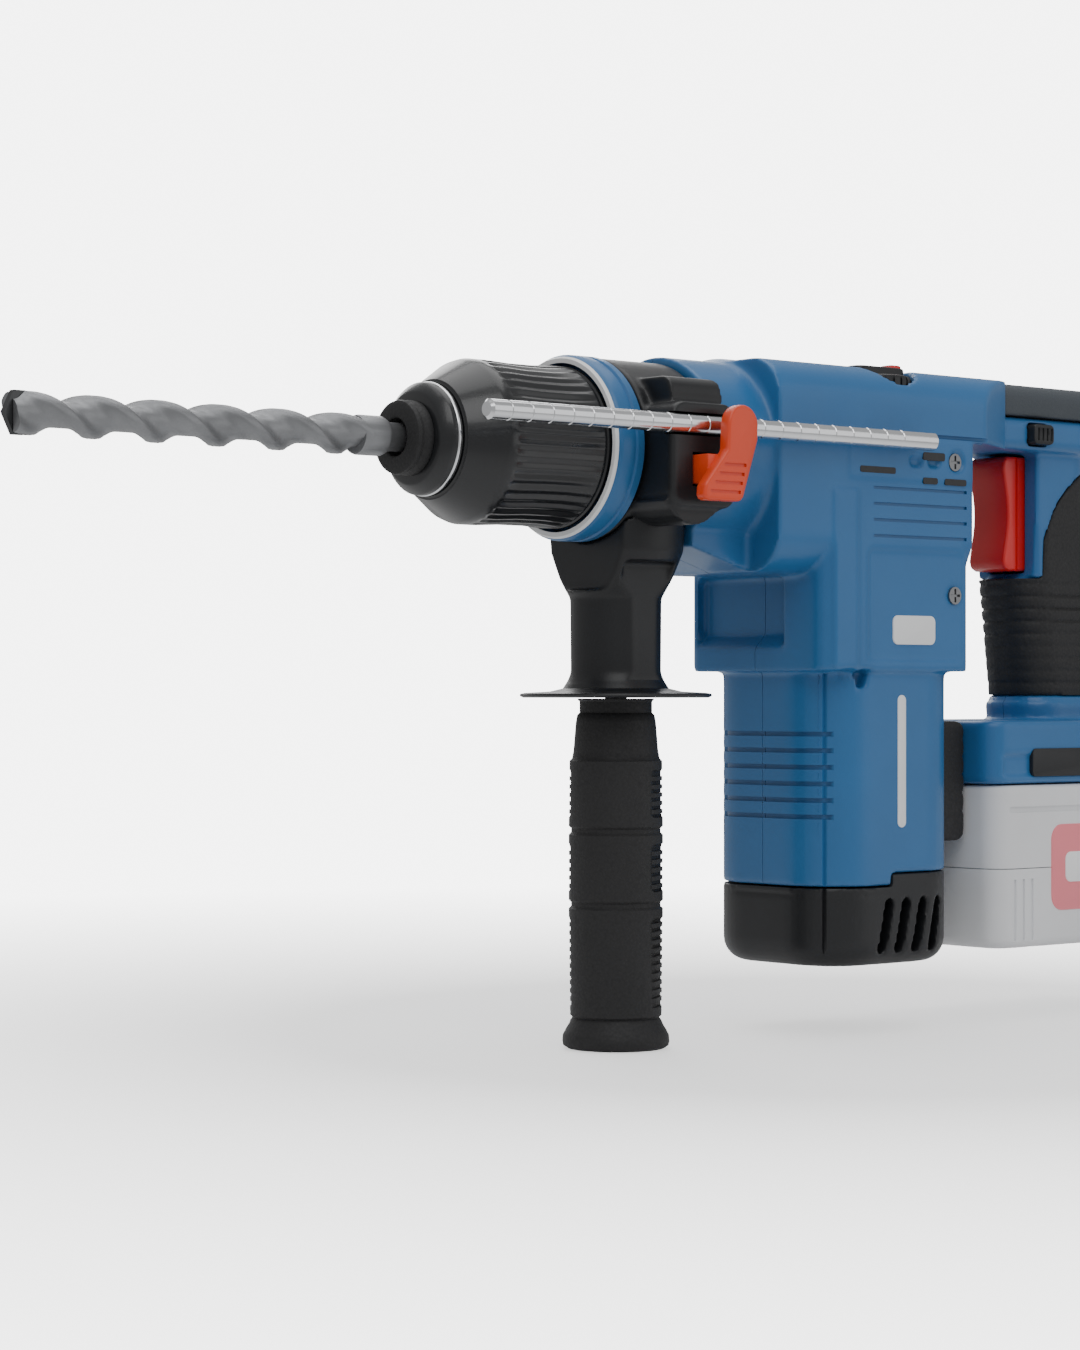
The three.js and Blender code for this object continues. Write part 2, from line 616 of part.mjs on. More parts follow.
function drillBit() {
  const collar = DUST_CAP_FRONT - 4;
  const fluteStart = collar - 10;
  const tipLength = 8;
  const fluteLength = fluteStart - BIT_TIP - tipLength + 2;
  const outline = [];
  const points = 10;
  for (let i = 0; i < points; i += 1) {
    const angle = i / points * 2 * Math.PI;
    const radius = BIT_CORE + (BIT_RADIUS - BIT_CORE) * Math.cos(angle) ** 4;
    outline.push([radius * Math.cos(angle), radius * Math.sin(angle)]);
  }
  const steps = Math.round(fluteLength / BIT_PITCH * 14);
  const flutes = new THREE.ExtrudeGeometry(polygon(outline), {
    depth: fluteLength, steps, bevelEnabled: false,
  });
  const place = flutes.attributes.position;
  for (let i = 0; i < place.count; i += 1) {
    const turn = place.getZ(i) / BIT_PITCH * 2 * Math.PI;
    const [u, v] = [place.getX(i), place.getY(i)];
    place.setX(i, u * Math.cos(turn) - v * Math.sin(turn));
    place.setY(i, u * Math.sin(turn) + v * Math.cos(turn));
  }
  flutes.rotateY(-Math.PI / 2).translate(fluteStart + 1, 0, 0);
  const shank = ring(collar - 1, BIT_INNER, SHANK_RADIUS, 0, 'x', 16);
  const plain = ring(fluteStart, collar, BIT_RADIUS - 0.5, 0, 'x', 16);
  const nose = turned([
    [0, BIT_TIP + 3], [BIT_CORE - 0.3, BIT_TIP + 4], [BIT_CORE + 0.6, BIT_TIP + tipLength + 1],
    [0, BIT_TIP + tipLength + 1],
  ], 'x', 14);
  const slot = block(BIT_TIP - 1, BIT_TIP + tipLength, -1.25 - GAP, 1.25 + GAP, -20, 20);
  const grooveFront = BALL_X - BALL_RADIUS - 0.4;
  const grooveRear = BALL_X + BIT_FLOAT + BALL_RADIUS + 0.4;
  const groove = roundedRect(grooveFront, grooveRear, -BALL_RADIUS - 0.2, BALL_RADIUS + 0.2, 4);
  const grooves = [[-20, -SHANK_RADIUS + 1.9], [SHANK_RADIUS - 1.9, 20]].map(
    ([from, to]) => prism(groove, -to, -from, 'z').rotate([90, 0, 0]),
  );
  const body = join(toSolid(flutes), shank, plain, nose);
  return piece('drill_bit', cut(body, slot, ...grooves), STEEL);
}

function carbideTip() {
  const outline = polygon([
    [BIT_TIP, 0], [BIT_TIP + 3.4, -BIT_RADIUS], [BIT_TIP + 7.6, -BIT_RADIUS],
    [BIT_TIP + 7.6, BIT_RADIUS], [BIT_TIP + 3.4, BIT_RADIUS],
  ]);
  return piece('carbide_tip', prism(outline, -1.25, 1.25, 'y'), DARK_STEEL);
}

function impactBolt() {
  const solid = turned([
    [0, BIT_INNER + GAP],
    [SHANK_RADIUS - 0.4, BIT_INNER + GAP],
    [SHANK_RADIUS - 0.4, CHAMBER_FRONT + 6],
    [CHAMBER_RADIUS - RUN, CHAMBER_FRONT + 8],
    [CHAMBER_RADIUS - RUN, CHAMBER_REAR - 8],
    [CHAMBER_RADIUS - 3, CHAMBER_REAR - 6],
    [CHAMBER_RADIUS - 3, CHAMBER_REAR - 0.5],
    [0, CHAMBER_REAR - 0.5],
  ], 'x', 20);
  return piece('impact_bolt', solid, STEEL);
}

function striker() {
  const front = CHAMBER_REAR + 8;
  const radius = TUBE_BORE - RUN;
  const rear = front + STRIKER_LENGTH;
  const solid = turned([
    [0, front], [7, front], [8, front + 6], [radius, front + 8], [radius, rear - 9],
    [radius - 1.2, rear - 9], [radius - 1.2, rear - 6], [radius, rear - 6], [radius, rear], [0, rear],
  ], 'x', 20);
  return piece('striker', solid, STEEL);
}

function piston() {
  const radius = TUBE_BORE - RUN;
  const rear = WOBBLE_X + 11;
  const front = rear - PISTON_LENGTH;
  const slot = block(WOBBLE_X - 6.4, WOBBLE_X + 6.4, -3.8, 3.8, -radius - 1, 6);
  const groove = cut(
    ring(front + 5, front + 8, radius + 1), ring(front + 4, front + 9, radius - 1.2),
  );
  return piece('piston', cut(ring(front, rear, radius, 0, 'x', 20), slot, groove), ALUMINIUM);
}

// ---- Countershaft line: built about the x axis, placed at the countershaft's height ----------

function countershaft() {
  const pitchRadius = SPUR_MODULE * SPUR_PINION_TEETH / 2;
  const teeth = gearOutline(
    SPUR_PINION_TEETH, pitchRadius - SPUR_MODULE * 1.1, pitchRadius + SPUR_MODULE * 0.8, Math.PI / 2,
  );
  const drum = turned([
    [0, WOBBLE_X - 6], [8, WOBBLE_X - 6], [9.4, WOBBLE_X - 2.5], [9.4, WOBBLE_X + 2.5],
    [8, WOBBLE_X + 6], [0, WOBBLE_X + 6],
  ], 'x', 20);
  const shaft = ring(SPUR_FRONT - 3, 22, 4.4, 0, 'x', 16);
  return piece('countershaft', join(shaft, prism(teeth, SPUR_FRONT, SPUR_REAR, 'x'), drum), STEEL);
}

function countershaftBearings() {
  const front = ring(BEARER_REAR - BEARER_WIDTH, BEARER_REAR, 9, 4.4 + RUN, 'x', 20);
  const rear = ring(15, 21, 9, 4.4 + RUN, 'x', 20);
  return [
    piece('countershaft_front_bearing', front, STEEL),
    piece('countershaft_rear_bearing', rear, STEEL),
  ];
}

// Bevel pair: both pitch cones share an apex at the local origin.
const BEVEL_PINION_RADIUS = BEVEL_MODULE * BEVEL_PINION_TEETH / 2;
const BEVEL_WHEEL_RADIUS = BEVEL_MODULE * BEVEL_WHEEL_TEETH / 2;
const CONE_OUTER = Math.hypot(BEVEL_PINION_RADIUS, BEVEL_WHEEL_RADIUS);
const CONE_INNER = CONE_OUTER - BEVEL_FACE;
const CONE_DIRECTION = [BEVEL_PINION_RADIUS / CONE_OUTER, -BEVEL_WHEEL_RADIUS / CONE_OUTER];
const CONE_NORMAL = [BEVEL_WHEEL_RADIUS / CONE_OUTER, BEVEL_PINION_RADIUS / CONE_OUTER];

// A point on the line where the pitch cones touch, lifted towards the wheel by an offset.
function conePoint(distance, offset) {
  const lift = offset * distance / CONE_OUTER;
  return [
    CONE_DIRECTION[0] * distance + CONE_NORMAL[0] * lift,
    CONE_DIRECTION[1] * distance + CONE_NORMAL[1] * lift,
  ];
}

// One tapered tooth on the touching line; side +1 stands up from the wheel, -1 from the pinion.
function bevelTooth(side) {
  const [high, low] = [BEVEL_MODULE * 0.75, -BEVEL_MODULE * 1.25];
  const outline = polygon([
    [side * low, -BEVEL_MODULE * 0.85], [side * high, -BEVEL_MODULE * 0.38],
    [side * high, BEVEL_MODULE * 0.38], [side * low, BEVEL_MODULE * 0.85],
  ]);
  const geometry = new THREE.ExtrudeGeometry(outline, { depth: BEVEL_FACE, bevelEnabled: false });
  geometry.translate(0, 0, CONE_INNER);
  const place = geometry.attributes.position;
  for (let i = 0; i < place.count; i += 1) {
    const share = place.getZ(i) / CONE_OUTER;
    place.setX(i, place.getX(i) * share);
    place.setY(i, place.getY(i) * share);
  }
  return toSolid(geometry.rotateY(Math.atan2(CONE_DIRECTION[0], CONE_DIRECTION[1])));
}

function bevelGear() {
  const root = BEVEL_MODULE * 1.1;
  const [innerX, innerZ] = conePoint(CONE_INNER, root);
  const [outerX, outerZ] = conePoint(CONE_OUTER, root);
  const back = outerX + 4;
  const disc = turned([
    [4.4 + GAP, innerX], [-innerZ, innerX], [-outerZ, outerX], [-outerZ, back], [8, back + 1.5],
    [4.4 + GAP, back + 1.5], [4.4 + GAP, innerX],
  ], 'x');
  const teeth = [];
  for (let i = 0; i < BEVEL_WHEEL_TEETH; i += 1) {
    teeth.push(bevelTooth(1).rotate([(i + 0.5) * 360 / BEVEL_WHEEL_TEETH, 0, 0]));
  }
  return piece('bevel_gear', join(disc, ...teeth), STEEL);
}

function wobbleRing() {
  const half = 3.8;
  const band = ring(WOBBLE_X - half, WOBBLE_X + half, 15, 10.8, 'x', 24);
  const finger = ring(13, SHAFT_CENTRES + 2, 3, 0, 'z', 12).translate(WOBBLE_X, 0, 0);
  return piece('wobble_ring', join(band, finger), STEEL);
}

// ---- Motor: built about the z axis -----------------------------------------------------------

function rotorShaft() {
  const root = -BEVEL_MODULE * 1.1;
  const [innerX, innerZ] = conePoint(CONE_INNER, root);
  const [outerX, outerZ] = conePoint(CONE_OUTER, root);
  const pinion = turned([
    [0, COUNTER_Z + outerZ - 1], [outerX, COUNTER_Z + outerZ - 1], [outerX, COUNTER_Z + outerZ],
    [innerX, COUNTER_Z + innerZ], [0, COUNTER_Z + innerZ],
  ], 'z', 20);
  const teeth = [];
  for (let i = 0; i < BEVEL_PINION_TEETH; i += 1) {
    const tooth = bevelTooth(-1).rotate([0, 0, i * 360 / BEVEL_PINION_TEETH]);
    teeth.push(tooth.translate(0, 0, COUNTER_Z));
  }
  const shaft = ring(CAP_FLOOR + 2, COUNTER_Z + innerZ - 1, ROTOR_SHAFT_RADIUS, 0, 'z', 16);
  return piece('rotor_shaft', join(shaft, pinion, ...teeth), STEEL);
}

function rotorCore() {
  const low = STATOR_LOW - 2;
  const core = ring(
    low, low + STATOR_HEIGHT + 4, STATOR_BORE - 0.7, ROTOR_SHAFT_RADIUS + GAP, 'z', 24,
  );
  return piece('rotor_core', core, DARK_STEEL);
}

function coolingFan() {
  const low = STATOR_LOW + STATOR_HEIGHT + 6;
  const hub = ring(low, low + FAN_HEIGHT, 9, ROTOR_SHAFT_RADIUS + GAP, 'z', 20);
  const disc = ring(low, low + 1.8, FAN_RADIUS, ROTOR_SHAFT_RADIUS + GAP, 'z', 28);
  const blades = [];
  for (let i = 0; i < FAN_BLADES; i += 1) {
    const blade = block(8, FAN_RADIUS - 1, -0.8, 0.8, low + 1, low + FAN_HEIGHT);
    blades.push(blade.rotate([0, 0, i * 360 / FAN_BLADES]));
  }
  return piece('cooling_fan', join(hub, disc, ...blades), BLACK);
}

function stator() {
  const poles = gearOutline(12, STATOR_BORE, STATOR_RADIUS - 5, 0, 0.26, 0.3);
  const body = ring(STATOR_LOW, STATOR_LOW + STATOR_HEIGHT, STATOR_RADIUS, 0, 'z');
  const slots = prism(poles, STATOR_LOW - 1, STATOR_LOW + STATOR_HEIGHT + 1, 'z');
  return piece('stator', cut(body, slots), COPPER);
}

function motorBearings() {
  const lower = ring(
    CAP_FLOOR + 4, CAP_FLOOR + 4 + BEARING_WIDTH, BEARING_RADIUS, ROTOR_SHAFT_RADIUS + RUN, 'z', 20,
  );
  const seat = BLOCK_BOTTOM + WALL + 5;
  const upper = ring(seat, seat + BEARING_WIDTH, BEARING_RADIUS, ROTOR_SHAFT_RADIUS + RUN, 'z', 20);
  const plate = roundedRect(
    BLOCK_FRONT + POCKET_DEPTH + WALL + 2, COLUMN_HALF_X - WALL - 1,
    -BLOCK_HALF_Y + WALL + 1, BLOCK_HALF_Y - WALL - 1, BLOCK_CORNER,
  );
  const hole = ring(seat - 5, seat + BEARING_WIDTH + 5, BEARING_RADIUS + GAP, 0, 'z', 20);
  return [
    piece('motor_lower_bearing', lower, STEEL),
    piece('motor_upper_bearing', upper, STEEL),
    piece('motor_bearing_plate', cut(prism(plate, seat, seat + BEARING_WIDTH, 'z'), hole), ALUMINIUM),
  ];
}

// ---- Rear handle -----------------------------------------------------------------------------

// The hand grip: an oval column that leans forward; the inset shrinks it all round.
function gripForm(inset, low, high) {
  const halfY = GRIP_HALF_Y - inset;
  const plan = roundedRect(
    GRIP_FRONT_X + inset, GRIP_REAR_X - inset, -halfY, halfY, GRIP_CORNER - inset,
  );
  const upright = prism(plan, low, high, 'z');
  // column-major matrix: x gains slope times the height below the grip's middle
  const shift = GRIP_SLOPE * GRIP_MIDDLE_Z;
  return upright.transform([1, 0, 0, 0, 0, 1, 0, 0, -GRIP_SLOPE, 0, 1, 0, shift, 0, 0, 1]);
}

// The side region that the grip's rubber covers, grown by a margin.
function rubberRegion(margin) {
  const low = FOOT_HIGH + 10 - margin;
  const edge = GRIP_MIDDLE_Z - 1 + margin;
  const outline = polygon([
    [60, low], [190, low], [190, ARM_LOW + 2 + margin], [GRIP_REAR_X - 4, ARM_LOW - 2 + margin],
    [GRIP_STEP_X + 15, edge + 14], [GRIP_STEP_X + 4, edge], [60, edge],
  ]);
  return prism(outline, -60, 60, 'y');
}

function handleForm(inset) {
  const reach = inset > 0 ? WALL * 3 : 0;
  const skin = inset > 0 ? RUBBER + GAP : 0; // the hollow also clears the rubber's recess
  const armY = ARM_HALF_Y - inset;
  const armTop = ARM_PAD_LOW - GAP - inset;
  const arm = roundedRect(-armY, armY, ARM_LOW + inset, armTop, 4);
  const footEnd = FOOT_FRONT_X + FOOT_LENGTH - inset;
  const footY = FOOT_HALF_Y - inset;
  const foot = roundedRect(FOOT_FRONT_X + inset, footEnd, -footY, footY, 9);
  const footLow = inset > 0 ? FOOT_LOW + RAIL_HEIGHT + GAP + 2.5 : FOOT_LOW;
  const notch = block(
    0, GRIP_STEP_X + inset, -60, 60, GRIP_MIDDLE_Z - 1 + inset, ARM_LOW + inset,
  );
  const grip = gripForm(inset + skin, footLow + 1, armTop - 0.5);
  return join(
    prism(arm, TAIL_REAR_X + GAP - reach, PAD_REAR_X - 12 - inset, 'x'),
    cut(grip, notch),
    prism(foot, footLow, FOOT_HIGH - inset, 'z'),
  );
}

function handleShells() {
  const railY = RAIL_HALF_Y + GAP;
  const channelEnd = FOOT_FRONT_X + FOOT_LENGTH + 1;
  const channel = block(
    FOOT_FRONT_X + 6, channelEnd, -railY, railY, FOOT_LOW - 1, FOOT_LOW + RAIL_HEIGHT + GAP,
  );
  const triggerHole = block(
    TRIGGER_FRONT_X - 5, TRIGGER_FRONT_X + 30, -TRIGGER_HALF_Y - GAP, TRIGGER_HALF_Y + GAP,
    TRIGGER_LOW - GAP, TRIGGER_HIGH + GAP,
  );
  const selectorHole = block(88 - GAP, 100 + GAP, -60, 60, 202 - GAP, 210 + GAP);
  const underRubber = cut(
    rubberRegion(GAP).intersect(block(70, 180, -30, 30, FOOT_HIGH + 5, ARM_LOW + 10)),
    gripForm(RUBBER + GAP, FOOT_LOW, ARM_PAD_LOW),
  );
  const shell = cut(handleForm(0), handleForm(WALL), channel, triggerHole, selectorHole, underRubber);
  const seam = GAP / 2;
  const left = cut(shell, block(0, 300, -seam, 100, 0, 300));
  const right = cut(shell, block(0, 300, -100, seam, 0, 300));
  return [piece('handle_left_shell', left, BLUE), piece('handle_right_shell', right, BLUE)];
}

function gripRubber() {
  const low = FOOT_HIGH + 5;
  const skin = cut(gripForm(0, low, ARM_LOW + 5), gripForm(RUBBER, low - 1, ARM_LOW + 6));
  const behindTrigger = block(0, GRIP_STEP_X, -60, 60, GRIP_MIDDLE_Z - 1, ARM_LOW + 10);
  const belowArm = block(0, 300, -60, 60, ARM_LOW - GAP, 300);
  return piece('grip_rubber', cut(skin.intersect(rubberRegion(0)), behindTrigger, belowArm), RUBBER_BLACK);
}

function topPad() {
  const front = TAIL_REAR_X + GAP;
  const plan = roundedRect(front - 20, PAD_REAR_X, -ARM_HALF_Y, ARM_HALF_Y, 14);
  const crown = roundedRect(-ARM_HALF_Y, ARM_HALF_Y, ARM_PAD_LOW - 20, HOUSING_TOP, 8);
  const pad = prism(plan, ARM_PAD_LOW, HOUSING_TOP, 'z').intersect(prism(crown, front, PAD_REAR_X, 'x'));
  return piece('top_pad', pad, RUBBER_GREY);
}

function handleBridge() {
  const rear = FOOT_FRONT_X - GAP;
  const outline = polygon([
    [30, FOOT_HIGH], [rear, FOOT_HIGH], [rear, 50], [rear - 4, 45], [rear - 9, 45], [30, 51],
  ]);
  const clear = COLUMN_HALF_X + GAP;
  const column = roundedRect(
    -clear, clear, -COLUMN_HALF_Y - GAP, COLUMN_HALF_Y + GAP, COLUMN_CORNER + GAP,
  );
  const solid = cut(prism(outline, -22, 22, 'y'), prism(column, 0, 120, 'z'));
  return piece('handle_bridge', solid, RUBBER_BLACK);
}

function trigger() {
  const rear = TRIGGER_FRONT_X + TRIGGER_DEPTH;
  const shape = new THREE.Shape();
  shape.moveTo(rear, TRIGGER_LOW);
  shape.lineTo(rear, TRIGGER_HIGH);
  shape.lineTo(TRIGGER_FRONT_X + 2, TRIGGER_HIGH);
  shape.quadraticCurveTo(TRIGGER_FRONT_X, TRIGGER_HIGH, TRIGGER_FRONT_X, TRIGGER_HIGH - 4);
  shape.quadraticCurveTo(TRIGGER_FRONT_X + 6, TRIGGER_LOW + 20, TRIGGER_FRONT_X, TRIGGER_LOW + 3);
  shape.quadraticCurveTo(TRIGGER_FRONT_X, TRIGGER_LOW, TRIGGER_FRONT_X + 4, TRIGGER_LOW);
  shape.closePath();
  return piece('trigger', prism(shape, -TRIGGER_HALF_Y, TRIGGER_HALF_Y, 'y'), RED);
}

function handleInsides() {
  const switchFront = TRIGGER_FRONT_X + TRIGGER_DEPTH + TRIGGER_TRAVEL + 1.5;
  const boardLow = FOOT_LOW + RAIL_HEIGHT + GAP + 4;
  const footRear = FOOT_FRONT_X + FOOT_LENGTH;
  const switchBody = block(switchFront, switchFront + 10, -9, 9, TRIGGER_LOW + 6, TRIGGER_HIGH - 6);
  const board = block(FOOT_FRONT_X + 8, footRear - 20, -28, 28, boardLow, boardLow + 3);
  const terminals = join(
    block(FOOT_FRONT_X + 6 + GAP, FOOT_FRONT_X + 9, -15, 15, FOOT_LOW + 0.5, FOOT_LOW + RAIL_HEIGHT),
    block(FOOT_FRONT_X + 8, FOOT_FRONT_X + 10.4, -12, -10, FOOT_LOW + 2, FOOT_LOW + 6),
    block(FOOT_FRONT_X + 8, FOOT_FRONT_X + 10.4, 10, 12, FOOT_LOW + 2, FOOT_LOW + 6),
  );
  return [
    piece('switch_module', switchBody, BLACK),
    piece('control_board', board, BOARD_GREEN),
    piece('terminal_block', terminals, BLACK),
  ];
}

function directionSelector() {
  const halfY = ARM_HALF_Y + 3;
  const bar = roundedRect(88, 100, 202, 210, 2);
  return piece('direction_selector', prism(bar, -halfY, halfY, 'y'), BLACK);
}

// ---- Mode dial: built about its own z axis ---------------------------------------------------

function modeControls() {
  const low = HOUSING_TOP - DIAL_THICKNESS;
  const disc = ring(low, low + 10.5, DIAL_RADIUS, 0, 'z', 28);
  const barEnd = DIAL_RADIUS - 0.8;
  const wellEnd = DIAL_RADIUS - 2;
  const bar = prism(roundedRect(-barEnd, barEnd, -4.8, 4.8, 4), low + 10, HOUSING_TOP + 1, 'z');
  const well = block(wellEnd - 6.8, wellEnd, -3.6, 3.6, low + 6, HOUSING_TOP + 5);
  const plan = roundedRect(wellEnd - 6.8 + GAP, wellEnd - GAP, -3.3, 3.3, 1.5);
  const button = prism(plan, low + 8, HOUSING_TOP + 2.2, 'z');
  const fork = join(
    block(-24, 12, -4, 2, low - 7, low - 1),
    block(-24, -20, -4, 6, low - 15, low - 2),
  );
  return [
    piece('mode_dial', cut(join(disc, bar), well), BLACK),
    piece('mode_lock_button', button, RED),
    piece('shift_fork', fork, STEEL),
  ];
}

// ---- Battery ---------------------------------------------------------------------------------

function batteryShell(low, high, wall, floorSide) {
  const plan = (inset) => roundedRect(
    BATTERY_FRONT_X + inset, BATTERY_FRONT_X + BATTERY_LENGTH - inset,
    -BATTERY_HALF_Y + inset, BATTERY_HALF_Y - inset, 10 - inset,
  );
  const hollowLow = floorSide === 'low' ? low + wall : low - 1;
  const hollowHigh = floorSide === 'high' ? high - wall : high + 1;
  return cut(prism(plan(0), low, high, 'z'), prism(plan(wall), hollowLow, hollowHigh, 'z'));
}

function battery() {
  const top = FOOT_LOW - GAP;
  const rear = BATTERY_FRONT_X + BATTERY_LENGTH;
  const rail = block(
    FOOT_FRONT_X + 11, rear - 8, -RAIL_HALF_Y, RAIL_HALF_Y, top - 2, FOOT_LOW + RAIL_HEIGHT - GAP,
  );
  const latchWell = block(rear - 8, rear + 1, -12 - GAP, 12 + GAP, top - 20, FOOT_LOW + 20);
  const wellWall = block(rear - 10.5, rear - 1, -15, 15, top - 22.5, top - 1);
  const upper = join(batteryShell(BATTERY_SPLIT + GAP, top, 2.5, 'high'), rail, wellWall);
  const lower = batteryShell(BATTERY_LOW, BATTERY_SPLIT, 2.5, 'low');
  const latch = block(rear - 7.5, rear - 0.5, -12, 12, top - 15, top - 0.5);
  const pitch = CELL_RADIUS * 2 + 0.8;
  const firstX = BATTERY_FRONT_X + 10 + CELL_RADIUS;
  const lastX = firstX + (CELLS_IN_ROW - 1) * pitch;
  const rows = [BATTERY_LOW + 4 + CELL_RADIUS, BATTERY_LOW + 4 + CELL_RADIUS + pitch];
  const half = CELL_LENGTH / 2;
  const cells = [];
  for (const z of rows) {
    for (let i = 0; i < CELLS_IN_ROW; i += 1) {
      const cell = ring(-half, half, CELL_RADIUS, 0, 'y', 12);
      cells.push(cell.translate(firstX + i * pitch, 0, z));
    }
  }
  const strips = [-half, half].map((y) => block(
    firstX - 4, lastX + 4, y - 0.2, y + 0.2, rows[0] - 3, rows[1] + 3,
  ));
  return [
    piece('battery_top_shell', cut(upper, latchWell), PACK_GREY),
    piece('battery_bottom_shell', lower, PACK_GREY),
    piece('cell_pack', join(...cells, ...strips), CELL_TEAL),
    piece('battery_latch', latch, BLACK),
  ];
}

// ---- Side handle: built about x = 0, placed under the clamp seat -----------------------------

const COLLAR_OUTER = SEAT_RADIUS + 6.5;
const COLLAR_FRONT = SEAT_FRONT + 0.6 - SIDE_HANDLE_X;
const COLLAR_REAR = NOSE_FRONT - 0.6 - SIDE_HANDLE_X;
const ROD_Z = SPINDLE_Z + ROD_RISE;
const LEVER_INNER_Y = ROD_Y - ROD_RADIUS - LEVER_TRAVEL - 1;

function clampCollar() {
  const band = ring(COLLAR_FRONT, COLLAR_REAR, COLLAR_OUTER, SEAT_RADIUS + GAP, 'x');
  const holder = prism(roundedRect(-13, COLLAR_REAR, 171, ROD_Z + 8, 5), ROD_Y - 1, -24, 'y');
  const inside = ring(-30, 30, SEAT_RADIUS + GAP, 0, 'x').translate(0, 0, SPINDLE_Z);
  const rodGroove = ring(-40, 40, ROD_RADIUS + GAP, 0, 'x', 16).translate(0, ROD_Y, ROD_Z);
  const stemHole = block(-4 - GAP, 6 + GAP, ROD_Y - 5, ROD_Y + 10, 176 - GAP, 187 + GAP);
  const whole = join(band.translate(0, 0, SPINDLE_Z), holder);
  return piece('clamp_collar', cut(whole, inside, rodGroove, stemHole), BLACK);
}

function handleNeck() {
  const bore = TIE_BOLT_RADIUS + 0.6;
  const top = SPINDLE_Z - SEAT_RADIUS + 2;
  const guardLow = NECK_LOW - 3;
  const body = turned([
    [bore, guardLow],
    [GUARD_RADIUS, guardLow],
    [GUARD_RADIUS, guardLow + GUARD_THICKNESS],
    [NECK_RADIUS + 2.3, guardLow + GUARD_THICKNESS + 0.4],
    [NECK_RADIUS + 2.3, NECK_LOW + 0.5],
    [NECK_RADIUS, NECK_LOW + 3],
    [NECK_RADIUS, NECK_LOW + 33],
    [NECK_RADIUS + 7, top - 6],
    [NECK_RADIUS + 7, top],
    [bore, top],
    [bore, guardLow],
  ], 'z');
  const flanks = block(-NECK_RADIUS, NECK_RADIUS, -60, 60, NECK_LOW + 3, top + 1);
  const lower = block(-60, 60, -60, 60, 0, NECK_LOW + 3);
  const beforeRing = block(-60, COLLAR_FRONT, -60, 60, SPINDLE_Z - RING_RADIUS - 1, top + 1);
  const trimmed = cut(body.intersect(join(flanks, lower)), beforeRing);
  const collar = ring(-40, 40, COLLAR_OUTER + GAP, 0, 'x').translate(0, 0, SPINDLE_Z);
  const head = ring(SPINDLE_Z - COLLAR_OUTER - 9, SPINDLE_Z, TIE_BOLT_RADIUS + 5, 0, 'z', 6);
  return piece('handle_neck', cut(trimmed, collar, head), BLACK);
}

function tieBolt() {
  const top = SPINDLE_Z - COLLAR_OUTER - 2.4;
  const shank = ring(NECK_LOW - 42, top - 1, TIE_BOLT_RADIUS, 0, 'z', 16);
  const head = ring(top - 5.3, top, TIE_BOLT_RADIUS + 3.5, 0, 'z', 6);
  return piece('tie_bolt', join(shank, head), STEEL);
}

function sideGrip() {
  const bore = TIE_BOLT_RADIUS + RUN;
  const top = NECK_LOW - 3 - GAP;
  const solid = turned([
    [0, GRIP_BOTTOM],
    [GRIP_RADIUS + 1.2, GRIP_BOTTOM],
    [GRIP_RADIUS + 2.3, GRIP_BOTTOM + 1.5],
    [GRIP_RADIUS + 2.3, GRIP_BOTTOM + 5.5],
    [GRIP_RADIUS - 0.7, GRIP_BOTTOM + 9],
    [GRIP_RADIUS - 0.3, GRIP_BOTTOM + 30],
    [GRIP_RADIUS, GRIP_TOP - 45],
    [GRIP_RADIUS - 1.2, GRIP_TOP - 18],
    [GRIP_RADIUS - 2.9, GRIP_TOP],
    [GRIP_RADIUS - 3.2, top],
    [bore, top],
    [bore, NECK_LOW - 46],
    [0, NECK_LOW - 46],
  ], 'z');
  return piece('side_grip', solid, RUBBER_BLACK);
}

function depthLockLever() {
  const outer = LEVER_INNER_Y - LEVER_THICKNESS;
  const shape = new THREE.Shape();
  shape.moveTo(-9, 170);
  shape.lineTo(14, 170);
  shape.lineTo(17.2, ROD_Z - 2);
  shape.absarc(10.8, ROD_Z, 6.5, -0.2, Math.PI * 0.85);
  shape.lineTo(-9.5, 174);
  shape.closePath();
  const stem = block(-4, 6, LEVER_INNER_Y - 1, ROD_Y + 5, 176, 187);
  const plate = prism(shape, outer, LEVER_INNER_Y, 'y');
  return piece('depth_lock_lever', join(plate, stem), ORANGE);
}

function depthRod() {
  const front = ROD_FRONT_X - SIDE_HANDLE_X;
  const rod = turned([
    [0, front], [ROD_RADIUS - 0.8, front], [ROD_RADIUS, front + 1],
    [ROD_RADIUS, front + ROD_LENGTH - 1], [ROD_RADIUS - 0.8, front + ROD_LENGTH], [0, front + ROD_LENGTH],
  ], 'x', 16);
  return piece('depth_rod', rod.translate(0, ROD_Y, ROD_Z), CHROME);
}

// ---- Assembly --------------------------------------------------------------------------------

function groupAt(x, y, z, ...meshes) {
  const group = new THREE.Group();
  group.position.set(x, y, z);
  group.add(...meshes);
  return group;
}

